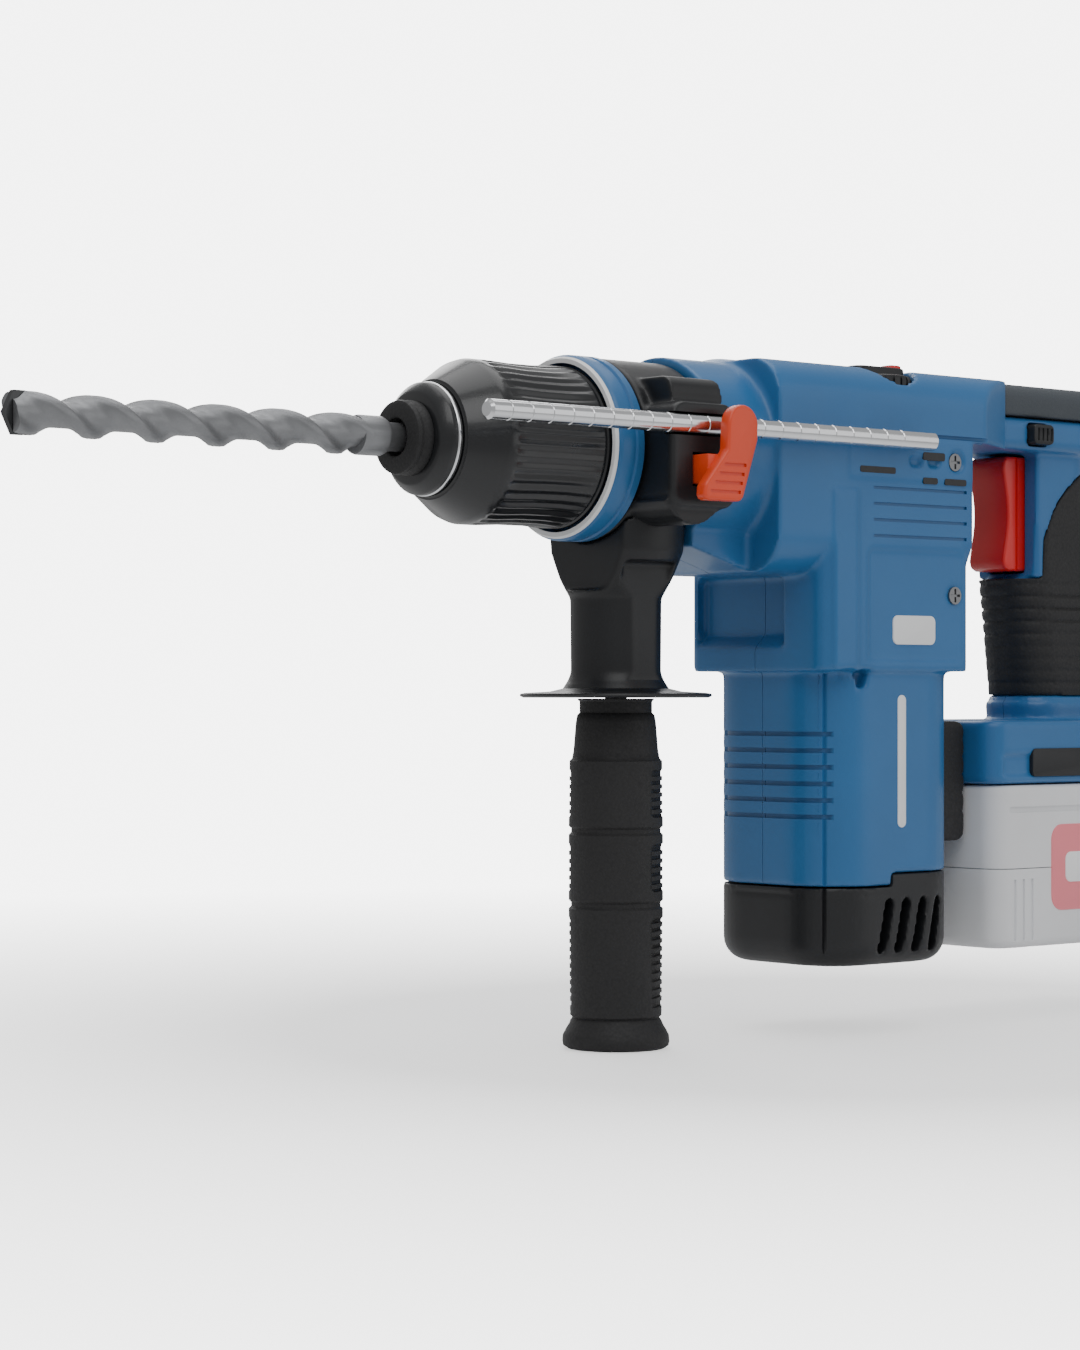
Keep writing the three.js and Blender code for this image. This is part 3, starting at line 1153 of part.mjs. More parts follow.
const housing = groupAt(
  0, 0, 0, ...housingHalves(), ...housingScrews(), motorEndCap(), gearCase().translateZ(SPINDLE_Z),
  collarRing().translateZ(SPINDLE_Z), bearingBulkhead().translateZ(SPINDLE_Z),
);
const spindleLine = groupAt(
  0, 0, SPINDLE_Z, ...spindleBearings(), spindle(), ...lockingBalls(), spindleGear(), clutchSpring(),
  chuckRing(), dustCap(), chuckSleeve(), sleeveSpring(), drillBit(), carbideTip(), impactBolt(),
  striker(), piston(),
);
const counterLine = groupAt(
  0, 0, COUNTER_Z, countershaft(), ...countershaftBearings(), bevelGear(), wobbleRing(),
);
const motor = groupAt(0, 0, 0, rotorShaft(), rotorCore(), coolingFan(), stator(), ...motorBearings());
const rearHandle = groupAt(
  0, 0, 0, ...handleShells(), gripRubber(), topPad(), handleBridge(), trigger(), ...handleInsides(),
  directionSelector(),
);
const modeControl = groupAt(DIAL_X, DIAL_Y, 0, ...modeControls());
const batteryPack = groupAt(0, 0, 0, ...battery());
const sideHandle = groupAt(
  SIDE_HANDLE_X, 0, 0, clampCollar(), handleNeck(), tieBolt(), sideGrip(), depthLockLever(), depthRod(),
);

const rotaryHammer = new THREE.Group();
rotaryHammer.name = 'rotary_hammer';
rotaryHammer.add(
  housing, spindleLine, counterLine, motor, rearHandle, modeControl, batteryPack, sideHandle,
);

export default rotaryHammer;
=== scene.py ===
"""Visual model of a cordless rotary hammer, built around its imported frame.

Every piece is made at its place in the frame, in metres, and rides on the body that carries it.
"""

import json
from math import atan2, cos, pi, radians, sin

import bmesh
import bpy
from bpy.props import FloatProperty, FloatVectorProperty, IntProperty, PointerProperty
from mathutils import Matrix, Vector


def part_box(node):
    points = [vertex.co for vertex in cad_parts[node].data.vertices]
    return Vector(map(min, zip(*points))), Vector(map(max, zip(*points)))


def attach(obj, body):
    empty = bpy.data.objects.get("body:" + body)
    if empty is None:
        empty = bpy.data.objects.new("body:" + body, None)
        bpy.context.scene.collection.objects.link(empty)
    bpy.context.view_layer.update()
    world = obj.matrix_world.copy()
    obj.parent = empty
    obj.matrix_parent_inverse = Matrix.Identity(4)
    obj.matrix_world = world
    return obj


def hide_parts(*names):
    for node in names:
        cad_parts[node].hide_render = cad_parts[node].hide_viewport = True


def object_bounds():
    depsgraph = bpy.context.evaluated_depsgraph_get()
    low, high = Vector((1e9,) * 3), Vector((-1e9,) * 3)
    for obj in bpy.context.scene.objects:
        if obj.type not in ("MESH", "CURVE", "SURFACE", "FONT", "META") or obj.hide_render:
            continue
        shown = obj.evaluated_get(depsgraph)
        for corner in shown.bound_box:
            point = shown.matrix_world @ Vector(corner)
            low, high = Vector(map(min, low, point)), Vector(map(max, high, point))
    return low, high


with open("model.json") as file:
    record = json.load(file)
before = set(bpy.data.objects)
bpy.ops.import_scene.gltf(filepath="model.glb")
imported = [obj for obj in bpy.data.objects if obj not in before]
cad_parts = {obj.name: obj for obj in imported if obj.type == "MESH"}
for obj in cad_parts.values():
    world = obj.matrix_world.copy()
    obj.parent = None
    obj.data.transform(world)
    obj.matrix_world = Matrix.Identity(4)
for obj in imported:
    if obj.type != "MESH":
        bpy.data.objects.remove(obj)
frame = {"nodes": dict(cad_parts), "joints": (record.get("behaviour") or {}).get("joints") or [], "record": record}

bl_info = {
    "name": "Rotary hammer",
    "version": (1, 0, 0),
    "blender": (4, 5, 0),
    "location": "View3D > Sidebar > Hammer",
    "description": "Builds the visible pieces of a cordless rotary hammer around its frame",
    "category": "Object",
}

MM = 0.001
FRAME_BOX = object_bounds()


# ---- Sizes and colours a user would change -------------------------------------------------------

def length(name, description, default):
    return FloatProperty(name=name, description=description, default=default, unit="LENGTH")


def colour(name, description, default):
    return FloatVectorProperty(
        name=name, description=description, default=default, subtype="COLOR", size=3, min=0, max=1,
    )


class HammerShapes(bpy.types.PropertyGroup):
    """Sizes of the visible shapes that the frame's boxes don't give."""

    voxel: length("Shell grid", "Grid that rounds the moulded shells", 1.1 * MM)
    shell: length("Shell wall", "Wall of the moulded shells", 1.6 * MM)
    column_corner: length("Column corner", "Corner radius of the motor column", 24 * MM)
    block_corner: length("Block corner", "Corner radius of the block over the column", 7 * MM)
    shoulder: length("Shoulder", "Radius of the gear housing's top edges", 15 * MM)
    rib_count: IntProperty(name="Sleeve ribs", description="Ribs round the chuck sleeve", default=44)
    rib_depth: length("Rib depth", "Depth of the chuck sleeve's ribs", 0.7 * MM)
    flute_pitch: length("Flute pitch", "Length of one turn of the bit's flutes", 24 * MM)
    round_steps: IntProperty(name="Round steps", description="Steps of a turned piece", default=72)


class HammerColours(bpy.types.PropertyGroup):
    """Colours of the finishes."""

    body: colour("Body", "Moulded blue housing", (0.022, 0.145, 0.36))
    black: colour("Black plastic", "Moulded black parts", (0.010, 0.011, 0.013))
    rubber: colour("Grip rubber", "Black rubber", (0.013, 0.013, 0.014))
    # The top pad is the same black rubber as the grip; this paler grey paints the highlight that lies along its
    # top.
    pad: colour("Top pad", "Dark grey rubber", (0.055, 0.066, 0.078))
    trigger: colour("Trigger", "Red trigger", (0.72, 0.012, 0.010))
    lever: colour("Lever", "Orange lock lever", (0.80, 0.062, 0.012))
    steel: colour("Steel", "Blasted and ground steel", (0.27, 0.275, 0.285))
    chrome: colour("Chrome", "Polished rod and ring", (0.82, 0.83, 0.85))
    aluminium: colour("Aluminium", "Cast parts", (0.56, 0.57, 0.59))
    pack: colour("Battery", "Pale grey pack", (0.80, 0.81, 0.83))
    badge: colour("Pack badge", "Plain badge on the pack", (0.95, 0.24, 0.28))
    # Also the pale of the painted highlight stripe down the column and the painted highlight ring on the collar's
    # front rim.
    plate: colour("Plate", "Plain pale plates on the housing", (0.93, 0.95, 0.97))
    winding: colour("Windings", "Lacquered copper", (0.50, 0.20, 0.07))
    board: colour("Board", "Coated circuit board", (0.02, 0.16, 0.06))
    cell: colour("Cell", "Sleeves of the cells", (0.05, 0.30, 0.28))


class HammerStage(bpy.types.PropertyGroup):
    """The floor, the light and the camera."""

    eye: FloatVectorProperty(
        name="Eye", description="Place of the camera", default=(-0.878, -0.870, 0.102), subtype="XYZ",
        unit="LENGTH",
    )
    turn: FloatProperty(
        name="Turn", description="How far the view is turned from the left side", default=radians(-40),
        subtype="ANGLE",
    )
    lens: FloatProperty(name="Lens", description="Focal length in millimetres", default=85)
    shift: FloatProperty(name="Shift", description="Upward shift of the frame", default=0.0148)
    floor: colour("Floor", "Pale floor", (0.93, 0.93, 0.93))


def shapes():
    return bpy.context.scene.hammer_shapes


def colours():
    return bpy.context.scene.hammer_colours


# ---- Places taken from the frame -----------------------------------------------------------------

def joint_place(name):
    for joint in frame["joints"]:
        if joint["name"] == name:
            return Vector(joint["pos_m"])
    raise ValueError(f"no joint named {name}")


SPINDLE = joint_place("spindle_spin")
HANDLE = joint_place("side_handle_swivel")
DIAL = joint_place("mode_turn")
DIAL_RADIUS = (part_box("mode_dial")[1][1] - DIAL.y) / MM
HOUSING_LOW, HOUSING_HIGH = (Vector(corner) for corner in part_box("left_housing"))
CAP_HIGH = Vector(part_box("motor_end_cap")[1])
AXIS = SPINDLE.z / MM
HANDLE_X = HANDLE.x / MM
HALF_WIDTH = 38
SIDES = ((-1, "left"), (1, "right"))


# ---- Mesh helpers; boxes, outlines and profiles are given in millimetres ---------------------------

def mm(*values):
    return tuple(value * MM for value in values)


def finish_mesh(name, bm, smooth=True, outward=True):
    """Make the object of a bmesh, with its normals outwards."""
    bmesh.ops.remove_doubles(bm, verts=bm.verts, dist=1e-6)
    if outward:
        bmesh.ops.recalc_face_normals(bm, faces=bm.faces)
    mesh = bpy.data.meshes.new(name)
    bm.to_mesh(mesh)
    bm.free()
    obj = bpy.data.objects.new(name, mesh)
    bpy.context.scene.collection.objects.link(obj)
    if smooth:
        smooth_by_angle(obj)
    return obj


def smooth_by_angle(obj, angle=radians(38)):
    obj.data.shade_smooth()
    obj.data.set_sharp_from_angle(angle=angle)


def apply_modifiers(obj):
    """Replace an object's mesh by what its modifiers make of it."""
    depsgraph = bpy.context.evaluated_depsgraph_get()
    made = bpy.data.meshes.new_from_object(obj.evaluated_get(depsgraph), depsgraph=depsgraph)
    old = obj.data
    obj.modifiers.clear()
    obj.data = made
    bpy.data.meshes.remove(old)
    return obj


def drop(obj):
    mesh = obj.data
    bpy.data.objects.remove(obj)
    bpy.data.meshes.remove(mesh)


def boolean(obj, others, operation):
    """Join or cut a list of scratch objects into obj, then drop them."""
    for other in others:
        modifier = obj.modifiers.new(operation.lower(), "BOOLEAN")
        modifier.operation = operation
        modifier.solver = "EXACT"
        modifier.object = other
    apply_modifiers(obj)
    for other in others:
        drop(other)
    return obj


def join(obj, *others):
    return boolean(obj, others, "UNION")


def cut(obj, *others):
    return boolean(obj, others, "DIFFERENCE")


def meet(obj, *others):
    return boolean(obj, others, "INTERSECT")


def melt(obj, voxel=None, rounds=4):
    """Round every edge as a mould does: an even grid of voxels in millimetres, then smoothing."""
    remesh = obj.modifiers.new("grid", "REMESH")
    remesh.mode = "VOXEL"
    remesh.voxel_size = voxel * MM if voxel else shapes().voxel
    remesh.use_smooth_shade = True
    soften = obj.modifiers.new("soften", "SMOOTH")
    soften.factor = 0.5
    soften.iterations = rounds
    return apply_modifiers(obj)


def halve(obj, name, side):
    """The half of a moulded form on one side of the middle plane, as a shell with a wall."""
    bm = bmesh.new()
    bm.from_mesh(obj.data)
    seam = 0.15 * MM
    geometry = bm.verts[:] + bm.edges[:] + bm.faces[:]
    bmesh.ops.bisect_plane(
        bm, geom=geometry, plane_co=(0, side * seam, 0), plane_no=(0, -side, 0), clear_outer=True,
    )
    half = finish_mesh(name, bm, smooth=False, outward=False)
    wall = half.modifiers.new("wall", "SOLIDIFY")
    wall.thickness = shapes().shell
    wall.offset = -1
    apply_modifiers(half)
    smooth_by_angle(half, radians(50))
    return half


def span(low, high, radius=0.0, axis=None, segments=6, soft=0.0):
    """A box with the edges along one axis rounded, and every other edge softened."""
    low, high = Vector(mm(*low)), Vector(mm(*high))
    bm = bmesh.new()
    bmesh.ops.create_cube(bm, size=1)
    size, middle = high - low, (high + low) / 2
    bmesh.ops.transform(bm, matrix=Matrix.Translation(middle) @ Matrix.Diagonal((*size, 1)), verts=bm.verts)
    if radius:
        direction = Vector([axis == "x", axis == "y", axis == "z"])
        along = [
            edge for edge in bm.edges
            if abs((edge.verts[0].co - edge.verts[1].co).normalized().dot(direction)) > 0.9
        ]
        limit = min(size[i] for i in range(3) if not direction[i]) / 2 - 1e-5
        bevel(bm, along, min(radius * MM, limit), segments)
    if soft:
        soften_edges(bm, soft * MM)
    return finish_mesh("scratch", bm)


def bevel(bm, edges, width, segments, **settings):
    bmesh.ops.bevel(
        bm, geom=edges, offset=width, affect="EDGES", segments=segments, profile=0.5, material=-1, **settings,
    )


def soften_edges(bm, width, segments=2, least=radians(30)):
    sharp = [edge for edge in bm.edges if len(edge.link_faces) == 2 and edge.calc_face_angle() > least]
    bevel(bm, sharp, width, segments, clamp_overlap=True)


def round_rim(obj, level, width, segments):
    """Round the edges that lie level at one height."""
    bm = bmesh.new()
    bm.from_mesh(obj.data)
    rim = [edge for edge in bm.edges if all(abs(vert.co.z / MM - level) < 0.01 for vert in edge.verts)]
    bevel(bm, rim, width * MM, segments)
    bm.to_mesh(obj.data)
    bm.free()


def slab(points, axis, start, end, soft=0.0, segments=2):
    """Extrude a flat outline along one axis. Points are (y, z), (x, z) or (x, y)."""
    place = {
        "x": lambda u, v: mm(start, u, v),
        "y": lambda u, v: mm(u, start, v),
        "z": lambda u, v: mm(u, v, start),
    }[axis]
    bm = bmesh.new()
    face = bm.faces.new([bm.verts.new(place(u, v)) for u, v in points])
    made = bmesh.ops.extrude_face_region(bm, geom=[face])
    new = [item for item in made["geom"] if isinstance(item, bmesh.types.BMVert)]
    step = Vector([axis == "x", axis == "y", axis == "z"]) * (end * MM - start * MM)
    bmesh.ops.translate(bm, vec=step, verts=new)
    bmesh.ops.recalc_face_normals(bm, faces=bm.faces)
    if soft:
        soften_edges(bm, soft * MM, segments)
    return finish_mesh("scratch", bm)


def arc(middle, radius, start, end, steps=8):
    """Points of an arc in a flat outline; angles in degrees."""
    angles = [radians(start + (end - start) * i / steps) for i in range(steps + 1)]
    return [(middle[0] + radius * cos(a), middle[1] + radius * sin(a)) for a in angles]


def turned(profile, axis, centre, steps=None, keep_bmesh=False):
    """Spin a profile of (radius, place) points, in millimetres, about an axis through centre."""
    steps = steps or shapes().round_steps
    along = Vector([axis == "x", axis == "y", axis == "z"])
    across = Vector((0, 0, 1)) if axis != "z" else Vector((1, 0, 0))
    base = Vector(centre) - along * Vector(centre).dot(along)
    bm = bmesh.new()
    verts = [bm.verts.new(base + along * (place * MM) + across * (radius * MM)) for radius, place in profile]
    edges = [bm.edges.new(pair) for pair in zip(verts, verts[1:])]
    bmesh.ops.spin(
        bm, geom=verts + edges, cent=base, axis=along, angle=2 * pi, steps=steps, use_merge=True,
    )
    bmesh.ops.remove_doubles(bm, verts=bm.verts, dist=1e-6)
    bmesh.ops.recalc_face_normals(bm, faces=bm.faces)
    if keep_bmesh:
        return bm
    return finish_mesh("scratch", bm)


def closed(profile):
    return profile + profile[:1]


def plug(radius, start, end, axis, centre, steps=None):
    """A plain round bar."""
    return turned([(0, start), (radius, start), (radius, end), (0, end)], axis, centre, steps)


def corners(node):
    """The low and high corners of a CAD node's box, in millimetres."""
    return (Vector(corner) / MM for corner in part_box(node))


def put(obj, name, body, slot, *nodes, look=None, angle=None):
    """Name a finished piece, give it its slot's look or another, and stand it in for CAD nodes.

    An angle, in degrees, is where the piece's smooth surfaces meet in a crease.
    """
    if angle:
        smooth_by_angle(obj, radians(angle))
    obj.name = name
    obj.data.name = name
    obj.data.materials.clear()
    obj.data.materials.append(MATERIALS[look or slot])
    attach(obj, body)
    if nodes:
        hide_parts(*nodes)


# ---- Shader expressions --------------------------------------------------------------------------

class Value:
    """A number socket that can be used in Python expressions."""

    def __init__(self, tree, socket):
        self.tree = tree
        self.socket = socket

    def _math(self, operation, *inputs):
        return self.tree.number("ShaderNodeMath", {"operation": operation}, *inputs)

    def __add__(self, other):
        return self._math("ADD", self, other)

    def __sub__(self, other):
        return self._math("SUBTRACT", self, other)

    def __mul__(self, other):
        return self._math("MULTIPLY", self, other)

    def __rsub__(self, other):
        return self._math("SUBTRACT", other, self)

    __radd__ = __add__
    __rmul__ = __mul__

    def clamp(self):
        return self.tree.number(
            "ShaderNodeMath", {"operation": "ADD", "use_clamp": True}, self, 0.0,
        )


class Tree:
    """A material's nodes, made one call at a time."""

    def __init__(self, name, **settings):
        self.material = bpy.data.materials.new(name)
        self.material.use_nodes = True
        self.nodes = self.material.node_tree.nodes
        self.links = self.material.node_tree.links
        self.shader = self.nodes["Principled BSDF"]
        for socket, value in settings.items():
            self.shader.inputs[socket.replace("_", " ")].default_value = value
        self.place = self.node("ShaderNodeTexCoord").outputs["Object"]

    def node(self, kind, settings=None, inputs=None):
        made = self.nodes.new(kind)
        for name, value in (settings or {}).items():
            setattr(made, name, value)
        for name, value in (inputs or {}).items():
            self.feed(made.inputs[name], value)
        return made

    def feed(self, socket, value):
        value = value.socket if isinstance(value, Value) else value
        if isinstance(value, bpy.types.NodeSocket):
            self.links.new(value, socket)
        else:
            socket.default_value = value

    def number(self, kind, settings, *inputs):
        made = self.node(kind, settings)
        for socket, value in zip(made.inputs, inputs):
            self.feed(socket, value)
        return Value(self, made.outputs[0])

    def place_scaled(self, scale):
        return self.node("ShaderNodeMapping", None, {"Vector": self.place, "Scale": scale}).outputs[0]

    def noise(self, scale, detail=2.0, stretch=None):
        place = self.place_scaled(stretch) if stretch else self.place
        inputs = {"Vector": place, "Scale": scale, "Detail": detail}
        return Value(self, self.node("ShaderNodeTexNoise", None, inputs).outputs[0])

    def cells(self, scale):
        inputs = {"Vector": self.place, "Scale": scale}
        return Value(self, self.node("ShaderNodeTexVoronoi", None, inputs).outputs["Distance"])

    def edges(self):
        """About 0.5 on flat ground and brighter on sharp edges."""
        return Value(self, self.node("ShaderNodeNewGeometry").outputs["Pointiness"])

    def mix(self, factor, first, second):
        made = self.node("ShaderNodeMix", {"data_type": "RGBA"})
        self.feed(made.inputs["Factor"], factor)
        self.feed(made.inputs[6], first)
        self.feed(made.inputs[7], second)
        return made.outputs[2]

    def bump(self, height, strength, distance):
        made = self.node(
            "ShaderNodeBump", None, {"Height": height, "Strength": strength, "Distance": distance},
        )
        self.links.new(made.outputs[0], self.shader.inputs["Normal"])

    def set(self, socket, value):
        self.feed(self.shader.inputs[socket], value)


def rgba(colour_value, gain=1.0):
    return (*[min(1.0, part * gain) for part in colour_value], 1.0)


def moulded(name, tone, roughness, grain=1800, depth=0.02, coat=0.0, wear=0.12):
    """Moulded plastic: spark-eroded grain, faint mottling, and paler rubbed edges."""
    tree = Tree(name, Coat_Weight=coat, Coat_Roughness=0.12)
    mottle = tree.noise(26, 4)
    rubbed = ((tree.edges() - 0.53) * 9 * tree.noise(160, 3)).clamp()
    base = tree.mix(mottle, rgba(tone, 0.86), rgba(tone, 1.12))
    tree.set("Base Color", tree.mix(rubbed * wear, base, rgba([0.5 + 0.5 * part for part in tone])))
    tree.set("Roughness", (tree.noise(60, 5) * 0.16 + (roughness - 0.08)).clamp())
    tree.bump(tree.noise(grain, 2), depth * 10, 0.0001)
    return tree.material


def rubber(name, tone, grain=900):
    """Soft overmould: a pebbled skin with dust held in the low places."""
    tree = Tree(name, Sheen_Weight=0.04, Sheen_Roughness=0.5)
    pebble = tree.cells(grain)
    dust = (tree.noise(40, 6) - 0.45).clamp() * 0.4
    tree.set("Base Color", tree.mix(dust, rgba(tone), rgba([part * 1.5 + 0.008 for part in tone])))
    tree.set("Roughness", (pebble * 0.2 + 0.55).clamp())
    tree.bump(pebble, 0.35, 0.0002)
    return tree.material


def metal(name, tone, roughness, stretch=(1, 1, 1), scale=400, dark=0.75, depth=0.15):
    """Metal with fine tool marks along one direction and a few duller patches."""
    tree = Tree(name, Metallic=1.0)
    marks = tree.noise(scale, 3, stretch)
    patch = tree.noise(30, 4)
    tree.set("Base Color", tree.mix(patch, rgba(tone, dark), rgba(tone, 1.1)))
    tree.set("Roughness", (marks * 0.18 + patch * 0.08 + (roughness - 0.12)).clamp())
    tree.bump(marks, depth, 0.00005)
    return tree.material


def blasted(name, tone):
    """Blasted bit steel: grainy, with darker patches of scale, and darker down in the hollow flutes."""
    tree = Tree(name, Metallic=0.85)
    grain = tree.noise(1500, 3)
    scale = (tree.noise(70, 5) - 0.35).clamp()
    # Darker where the surface curves inwards, down in the flutes.
    low = ((0.5 - tree.edges()) * 8).clamp()
    tree.set("Base Color", tree.mix(scale + low * 0.6, rgba(tone, 1.15), rgba(tone, 0.5)))
    tree.set("Roughness", (grain * 0.25 + 0.34).clamp())
    tree.bump(grain, 0.3, 0.0001)
    return tree.material


def frosted(name, tone):
    """Pale pack plastic with a soft depth to it."""
    tree = Tree(name, Coat_Weight=0.15, Coat_Roughness=0.3)
    cloud = tree.noise(18, 4)
    tree.set("Base Color", tree.mix(cloud, rgba(tone, 0.86), rgba(tone, 1.12)))
    tree.set("Roughness", (tree.noise(90, 4) * 0.2 + 0.4).clamp())
    tree.bump(tree.noise(1300, 2), 0.2, 0.0001)
    return tree.material


def circuit(name, tone):
    """Coated board with darker tracks."""
    tree = Tree(name, Coat_Weight=0.6)
    tracks = (tree.cells(260) * 3 - 0.9).clamp()
    tree.set("Base Color", tree.mix(tracks, rgba(tone, 0.5), rgba(tone, 1.6)))
    tree.set("Roughness", tracks * 0.2 + 0.3)
    tree.bump(tracks, 0.2, 0.0001)
    return tree.material


MATERIALS = {}


def make_materials():
    tone = colours()
    MATERIALS.update({
        "body_blue": moulded("blue_moulding", tone.body, 0.40, coat=0.12),
        "black_plastic": moulded("black_moulding", tone.black, 0.42, wear=0.05),
        "sleeve_black": moulded("sleeve_moulding", tone.black, 0.30, coat=0.3, wear=0.05),
        "grip_rubber": rubber("black_rubber", tone.rubber),
        # Painted highlight: the top pad gets a lighter grey copy of the black rubber.
        "pad_rubber": rubber("painted_highlight_rubber", tone.pad, 1400),
        "trigger_red": moulded("red_moulding", tone.trigger, 0.32, coat=0.2, wear=0.05),
        "lever_orange": moulded("orange_moulding", tone.lever, 0.35, coat=0.2, wear=0.05),
        "aluminium": metal("cast_alloy", tone.aluminium, 0.45, scale=900, depth=0.3),
        "steel": metal("ground_steel", tone.steel, 0.32, (30, 1, 1)),
        "bit_steel": blasted("blasted_steel", tone.steel),
        "dark_steel": metal("dark_steel", [part * 0.4 for part in tone.steel], 0.4),
        "chrome": metal("polished_chrome", tone.chrome, 0.16, (1, 12, 12), 300, 0.92, 0.05),
        "winding": metal("copper_winding", tone.winding, 0.35, (1, 1, 40), 500),
        "board": circuit("green_board", tone.board),
        "pack_grey": frosted("pack_plastic", tone.pack),
        "pack_badge": frosted("badge_plastic", tone.badge),
        "plate": frosted("pale_plate_and_painted_highlight", tone.plate),
        "cell": moulded("cell_sleeve", tone.cell, 0.4),
    })


# ---- Forms shared by several pieces --------------------------------------------------------------

def column_form(inset, low, high):
    """The motor column's plan, pulled in by an inset."""
    half_x, half_y = CAP_HIGH.x / MM - inset, CAP_HIGH.y / MM - inset
    corner = shapes().column_corner / MM - inset
    return span((-half_x, -half_y, low), (half_x, half_y, high), radius=corner, axis="z", segments=12)


def side_box(side, x0, x1, near, far, z0, z1, **settings):
    """A box on one side, between two distances from the middle plane."""
    y0, y1 = sorted((side * near, side * far))
    return span((x0, y0, z0), (x1, y1, z1), **settings)


def side_boxes(*place, **settings):
    """The same box on both sides."""
    return [side_box(side, *place, **settings) for side in (-1, 1)]


class HAMMER_OT_housing(bpy.types.Operator):
    """Build the two moulded housing shells"""

    bl_idname = "hammer.housing"
    bl_label = "Housing shells"

    def execute(self, context):
        form = self.body()
        cut(form, *self.panels(), self.dial_well())
        form = melt(form)
        cut(form, *self.grooves())
        for side, name in SIDES:
            half = halve(form, f"housing_{name}", side)
            put(half, f"housing_{name}", "housing", "body_blue", f"{name}_housing")
        drop(form)
        return {"FINISHED"}

    def body(self):
        half = HALF_WIDTH
        shoulder, block_corner = shapes().shoulder / MM, shapes().block_corner / MM
        top, front, rear = HOUSING_HIGH.z / MM, HOUSING_LOW.x / MM, HOUSING_HIGH.x / MM
        radius = top - AXIS
        gearbox = span((-66, -half, 147), (half, half, top), radius=shoulder, axis="x", segments=8)
        block = span((-42, -half, 111), (half, half, AXIS), radius=block_corner, axis="z")
        nose = turned(
            [(0, front), (radius, front), (radius, front + 24), (radius + 1.5, front + 30),
             (radius + 1.5, -40), (0, -40)], "x", SPINDLE,
        )
        chin = slab(
            [(front, AXIS - radius + 1), (-64, 147), (-60, 147), (-60, AXIS), (front, AXIS)], "y", -21, 21,
        )
        plan = [(0, -half), (45, -half), (rear, -24), (rear, 24), (45, half), (0, half)]
        tail = slab(plan, "z", top - 27, top)
        crown = span((-1, -half, top - 54), (rear + 1, half, top), radius=shoulder, axis="x", segments=8)
        column = column_form(0, 30.3, 130)
        cut(column, span((-5, -50, 20), (50, 50, 35)))
        ribs = side_boxes(-38, -26, 30, 38.9, 112, 178)
        shelf = side_boxes(-30, 37, 30, 38.6, 183, 198)
        return join(gearbox, block, nose, chin, meet(tail, crown), column, *ribs, *shelf)

    def grooves(self):
        """Rings round the column, lines down its corners and along the sides, and fine panel grooves."""
        count, first, pitch, width = 6, 55.5, 6.2, 1.8
        comb = [
            cut(span((-60, -60, z), (-30, 60, z + width)), column_form(1.5, 40, 110))
            for z in [first + pitch * i for i in range(count)]
        ]
        corner_lines = side_boxes(-33, -31.8, 26.6, 60, 20, 110)
        side_lines = side_boxes(-62, 60, 36.9, 50, 199.5, 201)
        fine = [
            side_box(side, -17, 34, 37.2, 50, z, z + 1.2) for side, _ in SIDES for z in (161, 167, 173, 179)
        ]
        return [*comb, *corner_lines, *side_lines, *fine]

    def panels(self):
        """The front pocket with its lip and brow, the sunk side panels, slots, notches and screw holes."""
        pocket = span((-60, -15, 124), (-36.5, 33, 147), radius=3, axis="x")
        lip = slab([(-60, 116), (-42, 119.5), (-36.6, 125), (-60, 125)], "y", -15, 33)
        brow = slab([(-60, 150), (-41, 150), (-39.4, 156), (-60, 156)], "y", -18, 36)
        sunk = side_boxes(-20, 33, 37, 50, 114, 157, radius=3, axis="y")
        slots = [
            side_box(side, x, x + 7, 36.6, 50, 188, 193, radius=1.5, axis="y")
            for side, _ in SIDES for x in (2, 12)
        ]
        notches = [
            slab([(x, 111.5), (x + 7, 111.5), (x + 5, 104.5), (x + 2, 104.5)], "y", -50, -30)
            for x in (-34, -24)
        ]
        screws = [plug(4.4, -50, -36.6, "y", mm(28, 0, z), 24) for z in (191, 140)]
        return [pocket, brow, lip, *sunk, *slots, *notches, *screws]

    def dial_well(self):
        return plug(DIAL_RADIUS + 0.5, 213, 240, "z", DIAL)


class HAMMER_OT_end_cap(bpy.types.Operator):
    """Build the vented cap under the motor"""

    bl_idname = "hammer.end_cap"
    bl_label = "Motor end cap"

    def execute(self, context):
        cap = column_form(0, 0, CAP_HIGH.z / MM)
        round_rim(cap, 0, 9, 7)
        step = span((-60, -60, 29.7), (-4.7, 60, 60))
        slots = [self.slot(side, i) for side, _ in SIDES for i in range(4)]
        lines = side_boxes(-33, -31.8, 26.4, 60, 3, 40)
        band = cut(span((-60, -60, 26.5), (-6, 60, 27.8)), column_form(0.9, 20, 40))
        cut(cap, step, *slots, band)
        cut(melt(cap, 0.9, 3), *lines)
        put(cap, "end_cap", "housing", "black_plastic", "motor_end_cap", angle=50)
        return {"FINISHED"}

    def slot(self, side, index):
        """One of a side's leaning vents, counted from the front."""
        first, pitch, lean = -8, 9.2, 0.22
        made = side_box(side, -2.3, 2.3, 24, 60, -10.5, 10.5, radius=2, axis="y")
        turn = Matrix.Rotation(lean, 4, "Y")
        made.data.transform(Matrix.Translation(mm(first + pitch * index, 0, 15)) @ turn)
        return made


